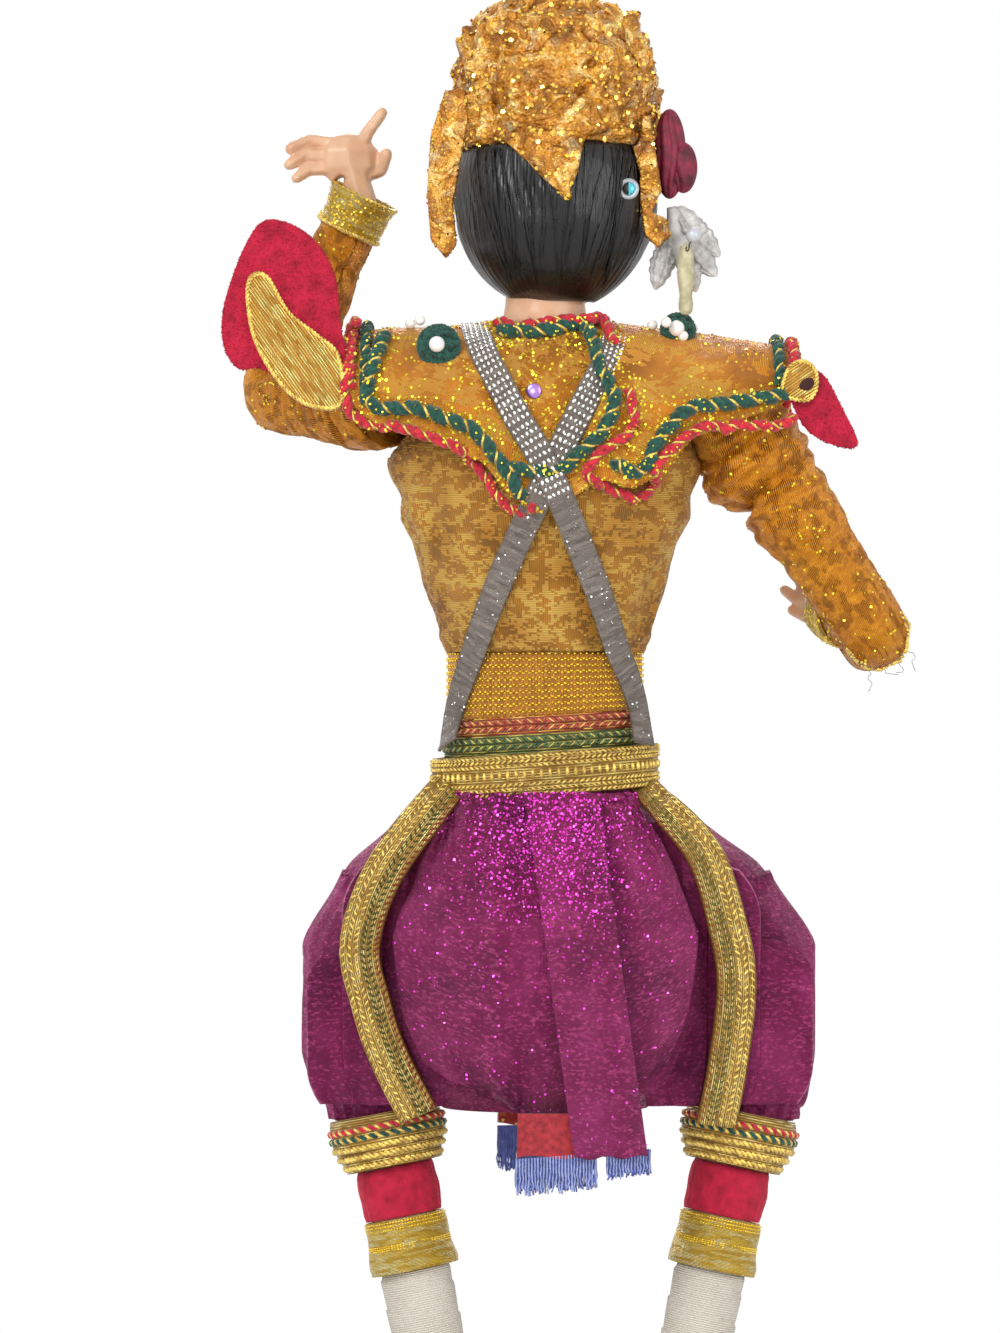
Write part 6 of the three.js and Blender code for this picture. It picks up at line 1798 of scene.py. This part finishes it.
# One tier of the spire: share of its height, share of its radius
TIER = ((0.02, 0.84), (0.12, 0.95), (0.26, 1.0), (0.4, 0.98), (0.52, 0.86), (0.62, 0.88), (0.75, 0.8),
        (0.92, 0.72))
spire_rows = [(0.2, 0)]
height = 0
for i in range(5):
    radius, step = 7 * (1 - 0.17 * i), SPIRE_HEIGHT * (0.13 - 0.012 * i)
    spire_rows += [(radius * swell, height + share * step) for share, swell in TIER]
    height += step
for radius, share in ((1.5, 0.1), (1.2, 0.16), (1.35, 0.2), (1.0, 0.25)):
    spire_rows.append((radius, height + share * SPIRE_HEIGHT))
for radius, share in ((0.9, 0.8), (1.3, 0.84), (1.5, 0.88), (1.2, 0.92), (0.8, 0.95), (0.3, 0.995)):
    spire_rows.append((radius, SPIRE_HEIGHT * share))
spire_rows.sort(key=lambda row: row[1])
spire = lathe("spire_form", np.array([HEAD[0], HEAD[1], SPIRE_Z]), spire_rows, GILT, 72)
spire_glints = strew("spire_glints", [spire], GOLD_FLAKE, 0.7, 0.22, 0.7, seed=9)
fit(joined("headdress_tower", [spire, spire_glints]), "head", "gold_relief", "headdress_spire")

for side in ("left", "right"):
    guard = softened(f"guard_form_{side}", f"ear_guard_{side}", GILT, 0.3, 3)
    sparkle = strew(f"guard_glints_{side}", [guard], GOLD_FLAKE, 0.9, 0.22, 0.7, seed=15)
    fit(joined(f"gilt_guard_{side}", [guard, sparkle]), "head", "gold_relief", f"ear_guard_{side}")
ear_stone = lay_on(hair_ground, [at_pixel(631, 189)], 1.2)[0] + [1.3, 1.1, -1.6]
stone = ball("stone_glass", ear_stone, np.array([1.15, 0.9, 1.15]), STONE, 16, 8)
# Painted reflection: the half of the stone towards greater x is painted black, for the dark that the glass
# mirrors; the other half keeps the cyan of the glass
stone.data.materials.append(INK.material)
for face in stone.data.polygons:
    face.use_smooth = False
    if face.center.x > ear_stone[0] * MM:
        face.material_index = 1
rim = [[ear_stone + np.array([reach * math.cos(a), 0, reach * math.sin(a)]) for a in angles(36)]
       for reach in (1.05, 1.75)]
setting = cloth("stone_rim", np.array(rim), 0.7, SETTING, True)
fit(joined("ear_stone", [stone, setting]), "head", "gold_relief")

# ---- flower tassel
PIVOT = np.array([-21.4, 4.6, 262.0])


def petal_form(name, x, rise, lean, length, width, finish, seed):
    """A crimped petal: ribs run along it, ridges across it, and its end is blunt."""
    t = np.linspace(0.01, 0.99, 60)
    u = angles(30)
    fullness = np.sin(math.pi * t ** 0.9)[:, None] ** 0.6
    rib = 1 + 0.32 * np.cos(9 * u + seed)[None] * fullness
    ridge = np.sin(34 * t + seed)[:, None]
    px = width * fullness * rib * (1 + 0.07 * ridge) * np.cos(u)[None]
    py = 1.15 * fullness * rib * (1 + 0.16 * ridge) * np.sin(u)[None] + 0.5 * np.sin(5 * t + seed)[:, None]
    pz = -length * t[:, None] * np.ones_like(px)
    tilt = math.radians(lean)
    rings = np.stack([px * math.cos(tilt) + pz * math.sin(tilt), py,
                      -px * math.sin(tilt) + pz * math.cos(tilt)], -1)
    return skin(name, rings + PIVOT + [x, 0, rise], finish)


def bloom(name, centre, radii, ribs, finish, seed):
    """A closed flower of pressed petals: an egg with soft ribs."""
    t = np.linspace(0.06, math.pi - 0.06, 44)[:, None]
    u = angles(84)[None]
    fold = 1 + 0.16 * np.abs(np.sin(ribs * u / 2 + 0.8 * np.sin(3 * t + seed))) - 0.12
    point = np.stack([np.sin(t) * np.cos(u) * fold * radii[0], np.sin(t) * np.sin(u) * fold * radii[1],
                      -np.cos(t) * radii[2] * np.ones_like(u)], -1)
    return skin(name, point + centre, finish)


flower = [bloom("bloom", PIVOT + [0.4, 0, 7.4], (2.7, 3.0, 7.6), 9, WINE, 0),
          bloom("calyx", PIVOT + [-1.9, 0.6, 5], (2.3, 2.5, 4.3), 7, WINE, 2)]
fit(joined("wine_flower", flower), "head", "flower_red", "ear_flower")
# Petals: x and height of the root, lean in degrees, length, half width
PETALS = ((-1, -1.4, 34, 10, 1.7), (-1.4, -3.4, 46, 9.4, 1.8), (-1.4, -6, 40, 9.6, 1.9),
          (0, -3.4, -8, 10.6, 1.7), (0.4, -7, -16, 9, 1.7), (-1.6, -9, 20, 7.4, 1.6))
petals = [petal_form(f"petal_{i}", *row, FROND, i) for i, row in enumerate(PETALS)]
stem = round_limb(PIVOT + [0, 0, -1.6], PIVOT + [-1.8, 0, -12],
                  [(0, 0.9), (3, 1.4), (8, 1.4), (10.3, 0.8)], 24, 16)
petals.append(skin("petal_stem", stem, FROND))
fit(joined("white_petals", petals), "tassel", "petal_white", "tassel_petals")
bud_foot = PIVOT + [-2.2, 3.4, 0]
bud = lathe("bud_form", bud_foot, [
    (0.1, -20.1), (0.8, -19.9), (1.15, -19.3), (1.25, -18.2), (1.05, -16.8), (1.3, -15), (1.45, -13.8),
    (1.35, -10.4), (0.9, -8.5), (0.1, -8.1)], BUD, 40)
fit(bud, "tassel", "bud_cream", "tassel_bud")
drop_bead = PIVOT + [-3.4, 4.8, -6.8]
drop_thread = finer([drop_bead, drop_bead + [1.0, 0.4, -2.6], bud_foot + [0, 0.4, -8.4]], 0.5)
drop = joined("clear_drop", [ball("clear_ball", drop_bead, np.array([1.3, 1.3, 1.3]), FROSTED, 24, 16),
                             twisted("drop_thread", drop_thread, [(DARK_THREAD, 1)], 0.22, 2)])
fit(drop, "tassel", "petal_white")

# ---- shoulder wings: velvet leaves, each with a ribbon face edged with gold cord
# Outlines in x and height of the velvet and of the ribbon on it, and how far back the wing stands
WINGS = {
    "left": ([(33.6, 1.6), (34.4, 9.6), (35.6, 18), (40, 24.2), (46.4, 26.4), (50, 22.6), (53.6, 13),
              (54, 6), (51.6, 1.6), (47.6, 1.6), (43, -1.4), (38, -2.6)],
             [(34, -4.8), (34.4, 3.4), (38, 7), (43, 11), (47, 17.4), (50, 15.8), (49, 7), (45, -0.4),
              (40, -4.8)],
             12.4),
    "right": ([(-40.6, 1.4), (-42.6, 4.6), (-46.4, 3.6), (-49.4, -1.6), (-52.2, -8), (-48.4, -8.2),
               (-43.4, -5.2)],
              [(-38.4, 0.4), (-39.8, 6.2), (-43.2, 7.8), (-46, 5.4), (-46, 1), (-43.6, -1.4)], 12.2),
}
WING_Z = 231.1


def cushion(name, outline, depths, finish, bulge, turn, around=150, rows=22):
    """A soft plate inside an outline of (x, height) points: flat at the front and swelling at the back."""
    edge = finer([(x, 0, z) for x, z in outline], 0.4, True)
    steps = np.concatenate([[0], np.cumsum(np.linalg.norm(np.diff(edge, axis=0), axis=1))])
    at = np.linspace(0, steps[-1], around, endpoint=False)
    edge = np.stack([np.interp(at, steps, edge[:, k]) for k in (0, 2)], -1)
    middle = edge.mean(axis=0)
    front, back = depths
    layers = []

    def layer(share, depth):
        flat = middle + (edge - middle) * share
        layers.append(np.stack([flat[:, 0], np.full(around, depth), flat[:, 1]], -1))
    for share in np.linspace(0.02, 1, rows):
        layer(share, back + bulge * (1 - share ** 3))
    for share in np.linspace(1, 0.02, rows):
        layer(share, front)
    made = skin(name, np.array(layers) + [0, 0, WING_Z], finish)
    places = np.array([v.co for v in made.data.vertices]) / MM
    flat = np.stack([places[:, 0] * math.cos(turn) + places[:, 2] * math.sin(turn),
                     places[:, 2] * math.cos(turn) - places[:, 0] * math.sin(turn)], -1)
    lay_flat(made.data, flat)
    return made


for side, (leaf, ribbon, back) in WINGS.items():
    if side == "right":
        leaf = [(x, z - 3.1) for x, z in leaf]
        ribbon = [(-42.6 + (x + 42.6) * 0.74, (z - 3.2) * 0.74 - 0.6) for x, z in ribbon]
    plush = cushion(f"wing_plush_{side}", leaf, (back - 1.0, back), VELVET, 0.5, 0.0)
    pile = strew(f"wing_pile_{side}", [plush], VELVET, 5.0, 0.16, 1.5, seed=3)
    fit(joined(f"velvet_wing_{side}", [plush, pile]), "figure", "red_velvet", f"wing_{side}")
    turn = 0.95 if side == "left" else -0.6
    foil = cushion(f"wing_foil_{side}", ribbon, (back + 0.4, back + 1.2), LAME, 1.1, turn)
    rim = finer([(x, back + 1.3, WING_Z + z) for x, z in ribbon], 0.5, True)
    middle = rim.mean(axis=0)
    rim = middle + (rim - middle) * [0.96, 1, 0.96]
    selvage = twisted(f"ribbon_edge_{side}", rim, GOLD_PLIES, 0.45, 1.4, True)
    parts = [foil, selvage]
    if side == "right":
        # Painted shade: a dark plate stands for the shade inside the mouth of the ribbon
        shaded_mouth = [(-41.6, -2.0), (-42.2, -0.4), (-43.4, 0.3), (-44.5, -0.2), (-44.7, -1.4), (-43.4, -2.6)]
        parts.append(cushion("ribbon_mouth", shaded_mouth, (back + 1.3, back + 1.9), MOUTH_SHADE, 0.5, 0.0, 60, 10))
    fit(joined(f"wing_lame_{side}", parts), "figure", "gold_cloth", f"wing_ribbon_{side}")


# ---- floor and studio light
WHITE = (1, 1, 1, 1)
SOFT_LIGHT = 0.5
FLOOR_SIZE = 6
# Near the doll the floor shows this share of plain white and keeps the shadow; far from it, all white
FLOOR_NEAR, FLOOR_FAR, NEAR_WHITE = 0.08, 0.34, 0.45
AIM = Vector((0, 0, 0.2))
# Lamps: name, place and size in metres, power in watts
LAMPS = (("key", (0.6, 1.0, 0.9), 0.6, 8), ("fill", (-0.9, 0.8, 0.4), 0.9, 4.2),
         ("front", (0.12, 1.3, 0.3), 0.3, 3.2), ("rim", (0.1, -1.1, 0.9), 0.8, 7))


def plain_rays(nodes):
    """1 for rays that should meet plain white: the camera's, and those by way of gloss or glass."""
    rays = nodes.node("LightPath").outputs
    bounced = nodes.maths("MAXIMUM", rays["Is Glossy Ray"], rays["Is Transmission Ray"])
    return nodes.maths("MAXIMUM", rays["Is Camera Ray"], bounced)


def light_world():
    world = bpy.data.worlds.new("studio")
    bpy.context.scene.world = world
    world.use_nodes = True
    world.node_tree.nodes.clear()
    sky = Nodes(world.node_tree)
    soft, plain = (sky.node("Background", {"Color": WHITE, "Strength": strength}).outputs[0]
                   for strength in (SOFT_LIGHT, 1.0))
    mixed = sky.node("MixShader", {0: plain_rays(sky), 1: soft, 2: plain}).outputs[0]
    sky.node("OutputWorld", {"Surface": mixed})


def hang_lamps():
    for name, place, size, power in LAMPS:
        data = bpy.data.lights.new(name, "AREA")
        data.shape, data.size, data.energy = "DISK", size, power
        lamp = link(bpy.data.objects.new(name, data))
        lamp.location = place
        lamp.rotation_euler = (AIM - lamp.location).to_track_quat("-Z", "Y").to_euler()


def lay_floor():
    bpy.ops.mesh.primitive_plane_add(size=FLOOR_SIZE)
    floor = bpy.context.object
    floor.name = "floor"
    pale = Finish("pale_floor", "e9e8e6", 0.9)
    glow = pale.node("Emission", {"Color": WHITE, "Strength": 1.0}).outputs[0]
    place = pale.node("TexCoord").outputs["Object"]
    away = pale.node("VectorMath", {0: place}, operation="LENGTH").outputs["Value"]
    fade = {"Value": away, 1: FLOOR_NEAR, 2: FLOOR_FAR, 3: NEAR_WHITE, 4: 1.0}
    share = pale.maths("MULTIPLY", plain_rays(pale), pale.node("MapRange", fade).outputs[0])
    mixed = pale.node("MixShader", {0: share, 1: pale.shader.outputs[0], 2: glow}).outputs[0]
    pale.tree.links.new(mixed, pale.tree.nodes["Material Output"].inputs["Surface"])
    floor.data.materials.append(pale.material)
    floor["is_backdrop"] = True


light_world()
hang_lamps()
lay_floor()
bpy.context.scene.view_settings.view_transform = "Standard"
sizes = {name: [list(corner) for corner in box] for name, box in
         (("cad", (cad_low, cad_high)), ("visual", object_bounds()))}
